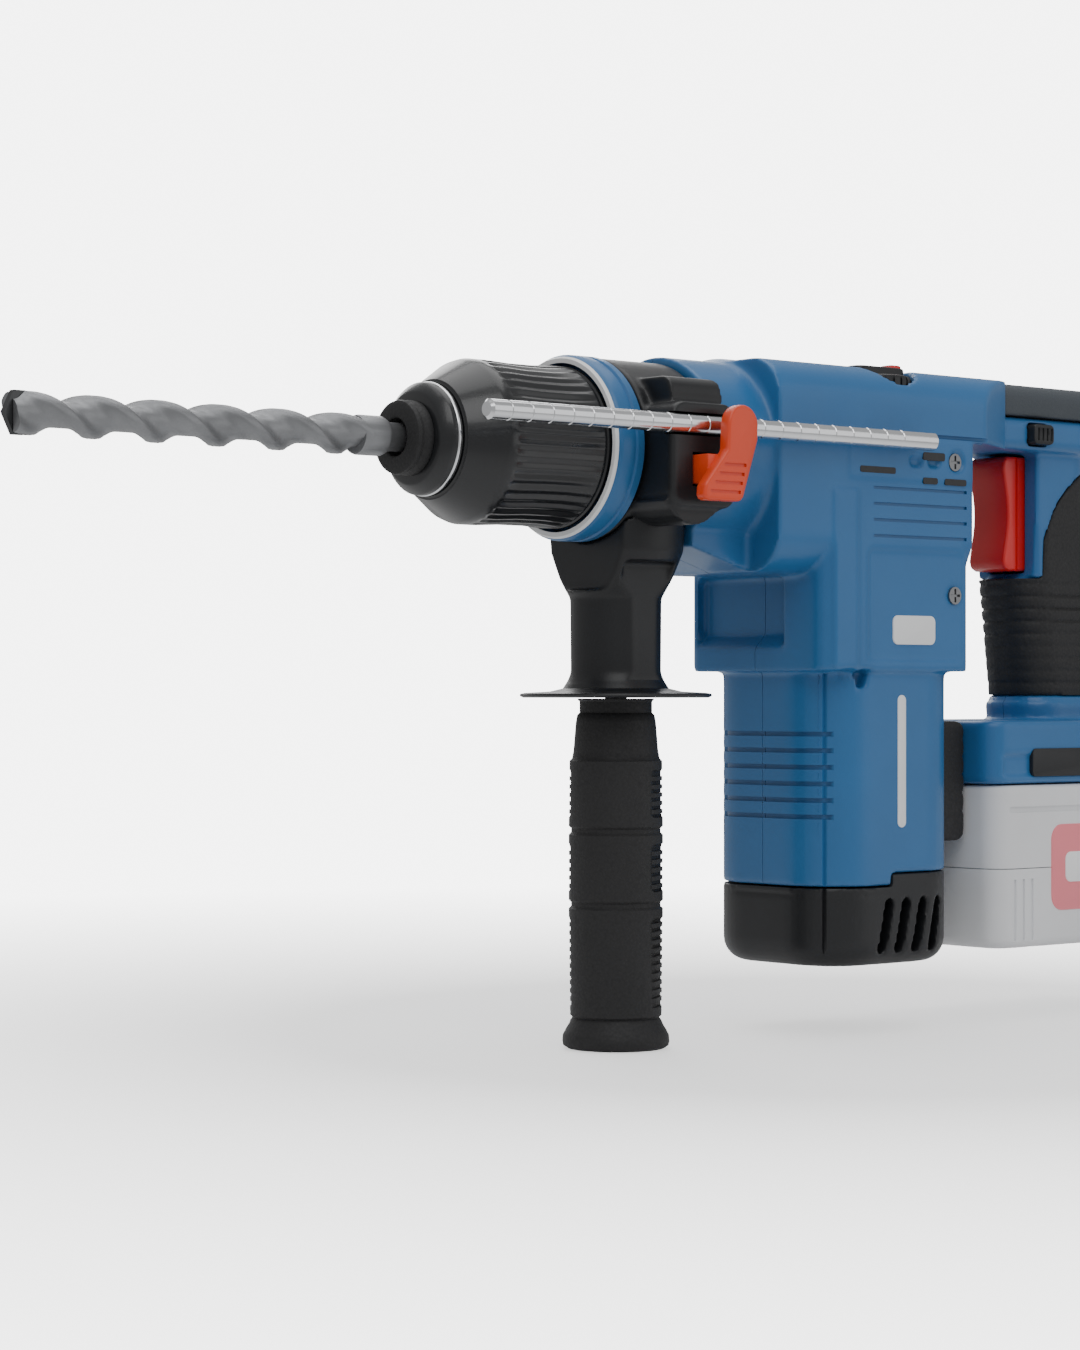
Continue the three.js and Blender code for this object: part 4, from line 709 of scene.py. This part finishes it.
class HAMMER_OT_nose(bpy.types.Operator):
    """Build the collar ring, the chuck, its ring and the dust cap"""

    bl_idname = "hammer.nose"
    bl_label = "Chuck and collar"

    def execute(self, context):
        self.collar_ring()
        self.sleeve()
        self.ring_and_cap()
        return {"FINISHED"}

    def collar_ring(self):
        front, rear = (corner.x for corner in corners("collar_ring"))
        profile = [
            (16.5, rear - 3), (30.2, rear - 3), (30.2, front + 0.6), (30.8, front),
            (31.4, front), (33.0, front + 1.8), (33.4, front + 2.6), (33.4, rear - 5.6),
            (32.7, rear - 5), (32.7, rear - 4), (33.4, rear - 3.4), (33.4, rear - 0.6),
            (32.8, rear), (16.5, rear),
        ]
        ring = turned(closed(profile), "x", SPINDLE)
        put(ring, "front_ring", "housing", "body_blue", "collar_ring")
        # A thin pale ring on the collar ring's front rim paints the white highlight that runs round it.
        profile = [(30.3, front - 0.2), (31.9, front - 0.2), (32.6, front + 0.9), (30.3, front + 0.9)]
        highlight_band = turned(closed(profile), "x", SPINDLE)
        put(highlight_band, "painted_highlight_ring", "housing", "chrome", look="plate")

    def sleeve(self):
        front, rear = (corner.x for corner in corners("chuck_sleeve"))
        ribs = shapes().rib_count
        wide, waist = 29, 28.5
        profile = [
            (20.3, front + 0.5), (20.9, front + 0.6), (28.2, front + 12), (wide, front + 14.5),
            (wide, front + 16.5), (wide, front + 17.5), (wide, front + 22), (waist, front + 32),
            (waist, front + 44), (wide, front + 52), (wide, rear - 3.5), (28.4, rear - 3), (28.4, rear - 2),
            (wide, rear - 1.5), (wide, rear - 0.5), (28.5, rear), (26, rear), (26, front + 16),
            (18.9, front + 10), (11.4, front + 10), (11.4, front), (19.8, front),
        ]
        bm = turned(closed(profile), "x", SPINDLE, steps=ribs * 4, keep_bmesh=True)
        low, high, inmost = (front + 17) * MM, (front + 53) * MM, 27.5 * MM
        for vert in bm.verts:
            away = vert.co - SPINDLE
            radius = Vector((0, away.y, away.z)).length
            if low < vert.co.x < high and radius > inmost:
                step = round(atan2(away.z, away.y) / (2 * pi) * ribs * 4) % 4
                if step in (0, 1):
                    squeeze = 1 - shapes().rib_depth / radius
                    vert.co.y, vert.co.z = SPINDLE.y + away.y * squeeze, SPINDLE.z + away.z * squeeze
        sleeve = finish_mesh("sleeve", bm)
        put(sleeve, "grip_sleeve", "sleeve", "black_plastic", "chuck_sleeve", look="sleeve_black")

    def ring_and_cap(self):
        front, rear = (corner.x for corner in corners("chuck_ring"))
        profile = [
            (11.3, front), (15.8, front), (16.6, front + 0.5), (19.2, front + 3), (19.6, front + 3.6),
            (19.6, rear - 0.5), (19.2, rear), (11.3, rear),
        ]
        ring = turned(closed(profile), "x", SPINDLE)
        put(ring, "bright_ring", "spindle", "black_plastic", "chuck_ring", look="sleeve_black")
        wire_angles = [i * pi / 5 for i in range(10)]
        profile = [(19.0 + 0.9 * cos(angle), rear - 1.6 + 0.9 * sin(angle)) for angle in wire_angles]
        wire = turned(closed(profile), "x", SPINDLE)
        put(wire, "snap_wire", "spindle", "chrome")
        front, rear = (corner.x for corner in corners("dust_cap"))
        profile = [
            (6.6, front + 0.4), (7, front), (11.2, front), (12.6, front + 0.8), (13, front + 2),
            (12.4, front + 3), (12.4, front + 3.8), (13, front + 4.8), (13, rear), (11.3, rear),
            (11.3, front + 4.7), (6.6, front + 4.7),
        ]
        cap = turned(closed(profile), "x", SPINDLE)
        put(cap, "nose_cap", "spindle", "grip_rubber", "dust_cap")


class HAMMER_OT_bit(bpy.types.Operator):
    """Build the fluted masonry bit"""

    bl_idname = "hammer.bit"
    bl_label = "Masonry bit"

    def execute(self, context):
        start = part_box("dust_cap")[0][0] / MM - 14
        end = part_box("carbide_tip")[0][0] / MM + 3
        flutes = self.flutes(start, end)
        profile = [
            (0, 3), (6.6, 3), (6.9, 2), (6.9, -7), (6.2, -8.5), (5, -10.5), (5, -64), (4.2, -65), (0, -65),
        ]
        shank = turned([(radius, start - place) for radius, place in profile], "x", SPINDLE, steps=40)
        join(flutes, shank)
        slot = span((end - 8, -1.5, AXIS - 20), (end + 5, 1.5, AXIS + 20))
        cut(flutes, slot)
        put(flutes, "masonry_bit", "bit", "steel", "drill_bit", look="bit_steel", angle=50)
        return {"FINISHED"}

    def flutes(self, start, end):
        """A ring with two high ridges, drawn out and turned step by step."""
        count, steps, core, ridge = 36, 150, 4.2, 2.8
        bm = bmesh.new()
        ring = []
        for i in range(count):
            angle = i / count * 2 * pi
            radius = (core + ridge * min(1.0, 1.35 * cos(angle) ** 6)) * MM
            ring.append(bm.verts.new((start * MM, radius * cos(angle), SPINDLE.z + radius * sin(angle))))
        loop = [bm.edges.new((ring[i], ring[(i + 1) % count])) for i in range(count)]
        bm.faces.new(ring)
        step = (end - start) * MM / steps
        turn = Matrix.Rotation(step / shapes().flute_pitch * pi, 3, "X")
        for _ in range(steps):
            made = bmesh.ops.extrude_edge_only(bm, edges=loop)["geom"]
            verts = [item for item in made if isinstance(item, bmesh.types.BMVert)]
            loop = [item for item in made if isinstance(item, bmesh.types.BMEdge)]
            bmesh.ops.translate(bm, vec=(step, 0, 0), verts=verts)
            bmesh.ops.rotate(bm, cent=SPINDLE, matrix=turn, verts=verts)
        bmesh.ops.contextual_create(bm, geom=loop)
        return finish_mesh("flutes", bm)


class HAMMER_OT_side_handle(bpy.types.Operator):
    """Build the side handle: clamp collar, neck, hand guard and rubber grip"""

    bl_idname = "hammer.side_handle"
    bl_label = "Side handle"

    def execute(self, context):
        self.collar()
        self.neck()
        self.grip()
        return {"FINISHED"}

    def collar(self):
        x, front, rear = HANDLE_X, -126.2, -94.8
        band = turned(
            closed([(26.9, front), (32, front), (33, front + 1), (33, rear - 1), (32, rear), (26.9, rear)]),
            "x", SPINDLE,
        )
        holder = span((x - 14, -46, 168), (rear, -22, 205.4), radius=6, axis="y", soft=1.5)
        brow = slab(
            [(x - 13, 168), *arc((x - 2, 176), 14, 200, 300, 6), (rear, 172), (rear, 190), (x - 13, 190)],
            "y", -44, -18,
        )
        upper = span((x - 9, -40, 200), (rear - 2, -14, 215), radius=6, axis="x")
        inside = plug(27, -140, -80, "x", SPINDLE)
        rod = span((-140, -60, 193.3), (-80, -41.1, 201.5), radius=2, axis="x")
        stem = span((x - 4.5, -60, 175.5), (x + 6.5, -35, 187.5))
        melt(cut(join(band, holder, brow, upper), inside), 0.8, 3)
        cut(band, rod, stem)
        put(band, "clamp_band", "side_handle", "black_plastic", "clamp_collar", angle=50)

    def neck(self):
        x, centre = HANDLE_X, (HANDLE.x, 0, 0)
        profile = [
            (0, 103.4), (19.3, 103.4), (19.3, 104.6), (17.6, 107), (16.4, 110), (16.6, 137),
            (20.5, 144), (24.5, 154), (25.5, 166), (0, 166),
        ]
        neck = turned(profile, "z", centre)
        flanks = span((x - 14.2, -60, 100), (x + 18, 60, 167), radius=6, axis="z")
        lower = span((x - 25, -60, 100), (x + 25, 60, 140))
        collar = plug(33.3, -150, -70, "x", SPINDLE)
        bore = turned([(0, 90), (4.6, 90), (4.6, 148.5), (9, 148.5), (9, 170), (0, 170)], "z", centre, 32)
        cut(meet(neck, join(flanks, lower)), collar, bore)
        cut(neck, *side_boxes(x - 12, x + 12, 15.6, 30, 106, 150))
        melt(neck, 0.9, 4)
        put(neck, "handle_stem", "side_handle", "black_plastic", "handle_neck")
        profile = [
            (5, 101), (33.6, 101), (34.8, 101.5), (35, 102), (34.7, 102.5), (33, 102.8),
            (24, 103.3), (19.3, 104.4), (17.4, 107.4), (5, 107.6),
        ]
        guard = turned(closed(profile), "z", centre, steps=96)
        put(guard, "hand_guard", "side_handle", "black_plastic")

    def grip(self):
        centre = (HANDLE.x, 0, 0)
        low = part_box("side_grip")[0][2] / MM
        profile = [
            (0, low), (17.6, low), (19.2, low + 1), (19.5, low + 2.4), (19.3, low + 4.6), (18.4, low + 6.4),
            (17.2, low + 8.4), (16.5, low + 10),
        ]
        stretches = [(low + 11, 25.4), (26.8, 52.2), (53.6, 79)]
        for start, end in stretches:
            width = [16.6 + 0.6 * sin(pi * min(1, (z + 16) / 110)) for z in (start, end)]
            profile += [
                (width[0] - 0.9, start), (width[0], start + 0.9), (width[1], end - 0.9),
                (width[1] - 0.9, end),
            ]
        profile += [
            (15.4, 82), (14.6, 92), (14.1, 94.7), (13.2, 95.6), (13.2, 99.6), (13.9, 100.3), (13.9, 100.7),
            (4.4, 100.7), (4.4, 58), (0, 58),
        ]
        grip = turned(profile, "z", centre, steps=96)
        turn = Matrix.Translation(centre) @ Matrix.Rotation(radians(35), 4, "Z")
        panels = [self.panel(side, start, end, turn) for start, end in stretches for side, _ in SIDES]
        cut(grip, *panels)
        put(grip, "rubber_grip", "side_grip", "grip_rubber", "side_grip", angle=40)

    def panel(self, side, start, end, turn):
        """The room of one sunk panel, with its ribs left standing."""
        panel = side_box(side, -9, 9, 14.9, 30, start + 4, end - 4, radius=3.5, axis="y")
        ribs = [side_box(side, -8, 8, 10, 16.1, z, z + 1.5) for z in range(int(start + 6), int(end - 6), 3)]
        cut(panel, *ribs)
        panel.data.transform(turn)
        return panel


class HAMMER_OT_depth_stop(bpy.types.Operator):
    """Build the depth rod and the orange lever that locks it"""

    bl_idname = "hammer.depth_stop"
    bl_label = "Depth stop"

    def execute(self, context):
        low, high = corners("depth_rod")
        radius = (high.z - low.z) / 2
        notch, notches, pitch = 0.25, 22, 9
        profile = [(0, low.x), (radius - 1, low.x), (radius, low.x + 1)]
        for i in range(notches):
            start = low.x + 8 + pitch * i
            profile += [
                (radius, start), (radius - notch, start + notch), (radius - notch, start + 3 * notch),
                (radius, start + 4 * notch),
            ]
        profile += [(radius, high.x - 1), (radius - 1, high.x), (0, high.x)]
        rod = turned(profile, "x", (low + high) / 2 * MM, steps=32)
        put(rod, "stop_rod", "depth_rod", "chrome", "depth_rod")
        self.lever()
        return {"FINISHED"}

    def lever(self):
        x = HANDLE_X
        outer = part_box("depth_lock_lever")[0][1] / MM
        inner = outer + 5
        outline = [(x - 9, 171.5), (x - 7.5, 170), (x + 8.5, 170), (x + 10, 171.5), (x + 17, 192)]
        outline += arc((x + 10, 197), 7.2, -12, 178, 12)
        outline += [(x + 2.4, 188), (x - 8.4, 175.5)]
        plate = slab(outline, "y", outer, inner, soft=1.3, segments=4)
        ribs = [
            span(
                (x - 6 + 2.2 * i, outer - 0.1, 172.6 + 3.2 * i),
                (x + 8.4 + 0.9 * i, outer + 0.7, 173.8 + 3.2 * i),
            )
            for i in range(4)
        ]
        stem = span((x - 3.6, inner - 1, 176.4), (x + 5.6, -41, 186.6), soft=0.5)
        join(cut(plate, *ribs), stem)
        put(plate, "lock_lever", "depth_lock", "lever_orange", "depth_lock_lever", angle=35)


class HAMMER_OT_rear_handle(bpy.types.Operator):
    """Build the rear handle: shells, grip rubber, top pad and bridge"""

    bl_idname = "hammer.rear_handle"
    bl_label = "Rear handle"

    slope = 0.13
    middle = 150

    def execute(self, context):
        self.shells()
        self.rubber()
        self.pad_and_bridge()
        return {"FINISHED"}

    def grip(self, inset, low, high):
        form = span(
            (92 + inset, -17 + inset, low), (142 - inset, 17 - inset, high), radius=15 - inset, axis="z",
            segments=10,
        )
        lean = Matrix.Identity(4)
        lean[0][2] = -self.slope
        lean[0][3] = self.slope * self.middle * MM
        form.data.transform(lean)
        return form

    def region(self, margin):
        """The side outline of the grip's rubber, as a thick slab."""
        outline = [(60, 102 - margin), (190, 102 - margin), (190, 198.6 + margin), (140, 197 + margin)]
        outline += arc((146, 152), 44 + margin, 108, 172, 8)[1:-1]
        outline += [(103, 149 + margin), (60, 149 + margin)]
        return slab(outline, "y", -60, 60)

    def notch(self):
        return span((0, -60, 149.3), (99, 60, 199.3))

    def shells(self):
        arm = span((70, -22, 199.4), (136, 22, 212.7), radius=4, axis="x")
        cut(arm, span((60, -60, 190), (72.4, 60, 230)))
        foot = span((51.2, -36.8, 67.2), (164.8, 36.8, 92), radius=9, axis="z", soft=2.2)
        bands = side_boxes(57, 158, 35.4, 60, 69.5, 79.5, radius=2, axis="y")
        cut(foot, *bands, span((57, -20.3, 50), (190, 20.3, 75.4)))
        flare = self.grip(-1.6, 89, 99)
        core = self.grip(2.8, 80, 212)
        around_rubber = cut(span((60, -50, 100), (190, 50, 212)), self.region(0.3))
        upper = cut(meet(self.grip(0, 100, 212), around_rubber), self.notch())
        form = join(arm, foot, flare, cut(core, self.notch()), upper)
        trigger_hole = span((80, -9.9, 151.4), (126, 9.9, 198.6))
        selector_hole = span((87.6, -60, 201.6), (100.4, 60, 210.4))
        cut(form, trigger_hole, selector_hole)
        melt(form, 1.0, 3)
        for side, name in SIDES:
            half = halve(form, f"handle_{name}", side)
            put(half, f"rear_handle_{name}", "housing", "body_blue", f"handle_{name}_shell")
        drop(form)

    def rubber(self):
        above = span((0, -60, 198.5), (300, 60, 300))
        skin = cut(meet(self.grip(0, 97, 204), self.region(0)), self.notch(), above)
        ribs = [span((60, -60, z), (190, 60, z + 1.7)) for z in range(106, 148, 5)]
        comb = cut(join(*ribs), self.grip(1.1, 90, 210))
        cut(skin, comb, self.grip(2.5, 90, 210))
        melt(skin, 0.85, 2)
        put(skin, "grip_skin", "housing", "grip_rubber", "grip_rubber", angle=60)

    def pad_and_bridge(self):
        low, high = corners("top_pad")
        pad = span((low.x - 20, low.y, low.z + 0.2), high, radius=14, axis="z", segments=8)
        round_rim(pad, high.z, 7, 6)
        side_lines = side_boxes(80, 138, 21, 40, 215, 216.2)
        ridges = [span((x, -11, 225.2), (x + 3, 11, 240), radius=1.4, axis="z") for x in range(88, 136, 6)]
        cut(pad, span((0, -60, 200), (low.x + 0.1, 60, 240)), *side_lines, *ridges)
        melt(pad, 0.9, 3)
        # The pad's lighter grey finish paints a highlight on black rubber.
        put(pad, "arm_pad", "housing", "pad_rubber", "top_pad")
        bridge = span((36, -22, 45.2), (50.6, 22, 91.8), radius=4, axis="y", soft=1.2)
        folds = [span((49.2, -60, 56 + 7 * i), (90, 60, 58 + 7 * i)) for i in range(5)]
        cut(bridge, column_form(-0.3, 0, 120), *folds)
        melt(bridge, 0.9, 2)
        put(bridge, "damper_bridge", "housing", "grip_rubber", "handle_bridge")


class HAMMER_OT_controls(bpy.types.Operator):
    """Build the trigger, the direction selector and the mode dial with its lock button"""

    bl_idname = "hammer.controls"
    bl_label = "Controls"

    def execute(self, context):
        self.trigger()
        self.selector()
        self.dial()
        return {"FINISHED"}

    def trigger(self):
        low, high = corners("trigger")
        front, rear = low.x, high.x
        outline = [
            (rear, low.z), (rear, high.z), (front + 2.5, high.z), (front + 0.6, high.z - 1.5),
            (front, high.z - 5),
        ]
        steps = 10
        for i in range(1, steps):
            share = i / steps
            z = high.z - 5 + (low.z + 4 - high.z + 5) * share
            outline.append((front + 2.8 * sin(pi * share) ** 1.3, z))
        outline += [(front, low.z + 4), (front + 0.8, low.z + 1.2), (front + 3.5, low.z)]
        half = high.y
        body = slab(outline, "y", -half, half, soft=2.2, segments=4)
        lines = side_boxes(front + 7, front + 8.2, half - 0.7, 20, low.z - 1, high.z + 1)
        cut(body, *lines)
        put(body, "trigger_key", "trigger", "trigger_red", "trigger", angle=40)

    def selector(self):
        low, high = corners("direction_selector")
        bar = span(low, high, radius=2, axis="y", soft=0.8)
        ribs = [
            span((x, end - 0.6, low.z + 1.5), (x + 1, end + 0.6, high.z - 1.5))
            for x in [low.x + 2.2 + 2.6 * i for i in range(4)] for end in (low.y, high.y)
        ]
        cut(bar, *ribs)
        put(bar, "selector_bar", "selector", "black_plastic", "direction_selector")

    def dial(self):
        low, high = (corner.z for corner in corners("mode_dial"))
        radius = DIAL_RADIUS
        profile = [
            (0, low), (radius - 0.5, low), (radius, low + 0.5), (radius, low + 8.5), (radius - 0.8, low + 10),
            (radius - 2.5, low + 10.5), (radius - 4, low + 10.2), (0, low + 10.2),
        ]
        disc = turned(profile, "z", DIAL)
        x, y = DIAL.x / MM, DIAL.y / MM
        end = radius - 0.8
        bar = span((x - end, y - 4.8, low + 9), (x + end, y + 4.8, high), radius=4, axis="z", soft=0.9)
        well = span((x + radius - 8.8, y - 3.6, low + 6), (x + radius - 2, y + 3.6, high + 4))
        teeth, count = [], 24
        for i in range(count):
            tooth = span((radius - 0.7, -0.5, low + 2), (radius + 2, 0.5, low + 11))
            turn = Matrix.Translation((DIAL.x, DIAL.y, 0)) @ Matrix.Rotation(2 * pi * i / count, 4, "Z")
            tooth.data.transform(turn)
            teeth.append(tooth)
        cut(join(disc, bar), well, *teeth)
        put(disc, "selector_dial", "dial", "black_plastic", "mode_dial", angle=35)
        low, high = corners("mode_lock_button")
        button = span(low, high, radius=1.5, axis="z", soft=0.8)
        put(button, "lock_button", "dial_lock", "trigger_red", "mode_lock_button")


class HAMMER_OT_battery(bpy.types.Operator):
    """Build the slide-in battery"""

    bl_idname = "hammer.battery"
    bl_label = "Battery"

    def execute(self, context):
        low, high = corners("battery_bottom_shell")
        lower = self.shell(low, high, "bottom")
        put(lower, "pack_lower", "battery", "pack_grey", "battery_bottom_shell")
        low_top, high_top = corners("battery_top_shell")
        body_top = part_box("handle_left_shell")[0][2] / MM - 0.3
        upper = self.shell(low_top, Vector((high_top.x, high_top.y, body_top)), "top")
        rail = span((62, -20, body_top - 2), (high_top.x - 8, 20, high_top.z), radius=2, axis="z", soft=0.8)
        well = span((high_top.x - 8, -12.3, body_top - 20), (high_top.x + 5, 12.3, body_top + 20))
        cut(join(upper, rail), well)
        put(upper, "pack_upper", "battery", "pack_grey", "battery_top_shell", angle=40)
        low, high = corners("battery_latch")
        latch = span(low, high, radius=2, axis="y", soft=1)
        grooves = [
            span((high.x - 0.8, low.y + 2, z), (high.x + 1, high.y - 2, z + 1.2))
            for z in [low.z + 3 + 2.5 * i for i in range(4)]
        ]
        cut(latch, *grooves)
        put(latch, "pack_latch", "latch", "black_plastic", "battery_latch")
        for side, name in SIDES:
            badge = side_box(side, 84, 128, 36.2, 37.4, 17, 51, radius=6, axis="y", soft=0.4)
            put(badge, f"pack_badge_{name}", "battery", "pack_grey", look="pack_badge")
            plate = side_box(side, 92, 120, 36.6, 37.7, 28, 40, radius=3, axis="y", soft=0.3)
            put(plate, f"pack_plate_{name}", "battery", "pack_grey", look="plate")
        return {"FINISHED"}

    def shell(self, low, high, part):
        form = span(low, high, radius=10, axis="z", segments=8)
        wall, end, width = 2.5, high.z, 2
        hollow_low, hollow_high = low.z - 1, high.z - wall
        if part == "bottom":
            end, width = low.z, 4
            hollow_low, hollow_high = low.z + wall, high.z + 1
        round_rim(form, end, width, 5)
        hollow_low = (low.x + wall, low.y + wall, hollow_low)
        hollow_high = (high.x - wall, high.y - wall, hollow_high)
        hollow = span(hollow_low, hollow_high, radius=7.5, axis="z")
        if part == "bottom":
            details = [side_box(side, x, x + 1.6, 36.2, 50, 6, 30) for x in (62, 67, 72) for side, _ in SIDES]
        else:
            details = side_boxes(60, 164, 36, 50, 56, 58.4, radius=1, axis="y")
        cut(form, hollow, *details)
        smooth_by_angle(form, radians(40))
        return form


class HAMMER_OT_plates(bpy.types.Operator):
    """Add the plain pale plates on the housing's sides, a pale stripe on each column side that paints a highlight,
    black patches that paint the shade in the side vents, and the black foot panels
    """

    bl_idname = "hammer.plates"
    bl_label = "Plain plates"

    def execute(self, context):
        for side, name in SIDES:
            badge = side_box(side, -6, 17, 36.4, 37.6, 121, 132, radius=2.5, axis="y", soft=0.3)
            put(badge, f"side_plate_{name}", "housing", "body_blue", look="plate")
            # A pale stripe down the middle of each column side paints the light band that runs down it.
            highlight_stripe = side_box(side, -2.2, 2.2, 35.4, 36.3, 52, 102, radius=2.1, axis="y", soft=0.2)
            put(highlight_stripe, f"painted_highlight_stripe_{name}", "housing", "body_blue", look="plate")
            # These black patches, flush with the shelf face, paint the shade of the side vents rather than opening
            # them.
            vents = [(-25, -6, 185, 187.4), (9, 17, 182, 184.4), (21, 33, 182, 184.4), (9, 21, 191, 194)]
            for i, (start, end, low, high) in enumerate(vents):
                shade_patch = side_box(side, start, end, 37.4, 38.75, low, high, radius=0.8, axis="y")
                put(shade_patch, f"painted_shade_slot_{name}_{i + 1}", "housing", "black_plastic")
            foot = -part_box("handle_left_shell")[0][1] / MM
            panel = side_box(side, 73, 146, foot - 2, foot + 0.3, 70, 81, radius=2, axis="y", soft=0.3)
            put(panel, f"foot_panel_{name}", "housing", "black_plastic")
        return {"FINISHED"}


class HAMMER_OT_insides(bpy.types.Operator):
    """Give every CAD node that stays its own finish"""

    bl_idname = "hammer.insides"
    bl_label = "Inside finishes"

    def execute(self, context):
        slot_of = {part["node"]: part["material_slot"] for part in frame["record"]["subparts"]}
        for node, obj in frame["nodes"].items():
            material = MATERIALS[slot_of[node]]
            if obj.material_slots:
                for slot in obj.material_slots:
                    slot.material = material
            else:
                obj.data.materials.append(material)
        return {"FINISHED"}


class HAMMER_OT_stage(bpy.types.Operator):
    """Set the pale floor, the soft studio light and the camera"""

    bl_idname = "hammer.stage"
    bl_label = "Stage"

    lighting = 0.42
    backdrop = 6
    floor_gap = 0.4 * MM
    floor_reach = 12

    def execute(self, context):
        stage = context.scene.hammer_stage
        self.floor(stage)
        self.lights()
        self.world()
        camera = bpy.data.cameras.new("camera")
        camera.lens = stage.lens
        camera.shift_y = stage.shift
        camera.clip_start = 0.01
        eye = bpy.data.objects.new("camera", camera)
        eye.location = stage.eye
        eye.rotation_euler = (pi / 2, 0, stage.turn)
        context.scene.collection.objects.link(eye)
        context.scene.camera = eye
        return {"FINISHED"}

    def floor(self, stage):
        """A pale sheet just under the lowest piece, fading out well before its edge."""
        low = FRAME_BOX[0][2]
        bm = bmesh.new()
        bmesh.ops.create_grid(bm, x_segments=1, y_segments=1, size=self.floor_reach)
        bmesh.ops.translate(bm, vec=(0, 0, low - self.floor_gap), verts=bm.verts)
        floor = finish_mesh("floor", bm, smooth=False, outward=False)
        tree = Tree("pale_floor", Roughness=0.9)
        soft = tree.noise(3, 2)
        tree.set("Base Color", tree.mix(soft, rgba(stage.floor, 0.98), rgba(stage.floor, 1.0)))
        reach = tree.place_scaled((1.1, 1.1, 1.1))
        fade = tree.number("ShaderNodeTexGradient", {"gradient_type": "SPHERICAL"}, reach)
        tree.set("Alpha", (fade * 1.3).clamp() * 0.86)
        floor.data.materials.append(tree.material)

    def lights(self):
        middle = Vector((-0.05, 0, 0.11))
        settings = [
            ("key", (-0.9, -1.1, 1.5), 1.3, 11),
            ("top", (0.1, 0.2, 1.7), 1.5, 12),
            ("fill", (0.9, -1.5, 0.6), 1.4, 4),
            ("rim", (0.6, 1.3, 0.9), 1.0, 8),
        ]
        for name, place, size, power in settings:
            light = bpy.data.lights.new(name, "AREA")
            light.size = size
            light.energy = power
            obj = bpy.data.objects.new(name, light)
            obj.location = place
            obj.rotation_euler = (middle - Vector(place)).to_track_quat("-Z", "Y").to_euler()
            bpy.context.scene.collection.objects.link(obj)

    def world(self):
        """White air that lights the pieces softly and shows a brighter white behind them."""
        world = bpy.data.worlds.new("studio")
        world.use_nodes = True
        nodes, links = world.node_tree.nodes, world.node_tree.links
        light, sight = nodes["Background"], nodes.new("ShaderNodeBackground")
        for background, strength in ((light, self.lighting), (sight, self.backdrop)):
            background.inputs["Color"].default_value = (1, 1, 1, 1)
            background.inputs["Strength"].default_value = strength
        path = nodes.new("ShaderNodeLightPath")
        choice = nodes.new("ShaderNodeMixShader")
        links.new(path.outputs["Is Camera Ray"], choice.inputs["Fac"])
        links.new(light.outputs["Background"], choice.inputs[1])
        links.new(sight.outputs["Background"], choice.inputs[2])
        links.new(choice.outputs["Shader"], nodes["World Output"].inputs["Surface"])
        bpy.context.scene.world = world


class HAMMER_PT_panel(bpy.types.Panel):
    """The list of pieces in the sidebar"""

    bl_idname = "HAMMER_PT_panel"
    bl_label = "Rotary hammer"
    bl_space_type = "VIEW_3D"
    bl_region_type = "UI"
    bl_category = "Hammer"

    def draw(self, context):
        for operator in OPERATORS:
            self.layout.operator(operator.bl_idname)


OPERATORS = (
    HAMMER_OT_insides, HAMMER_OT_housing, HAMMER_OT_end_cap, HAMMER_OT_nose, HAMMER_OT_bit,
    HAMMER_OT_side_handle, HAMMER_OT_depth_stop, HAMMER_OT_rear_handle, HAMMER_OT_controls,
    HAMMER_OT_battery, HAMMER_OT_plates, HAMMER_OT_stage,
)
CLASSES = (HammerShapes, HammerColours, HammerStage, *OPERATORS, HAMMER_PT_panel)


def register():
    for item in CLASSES:
        bpy.utils.register_class(item)
    bpy.types.Scene.hammer_shapes = PointerProperty(type=HammerShapes)
    bpy.types.Scene.hammer_colours = PointerProperty(type=HammerColours)
    bpy.types.Scene.hammer_stage = PointerProperty(type=HammerStage)


def unregister():
    del bpy.types.Scene.hammer_stage
    del bpy.types.Scene.hammer_colours
    del bpy.types.Scene.hammer_shapes
    for item in reversed(CLASSES):
        bpy.utils.unregister_class(item)


def main():
    register()
    make_materials()
    for operator in OPERATORS:
        module, name = operator.bl_idname.split(".")
        getattr(getattr(bpy.ops, module), name)()


if __name__ == "__main__":
    main()
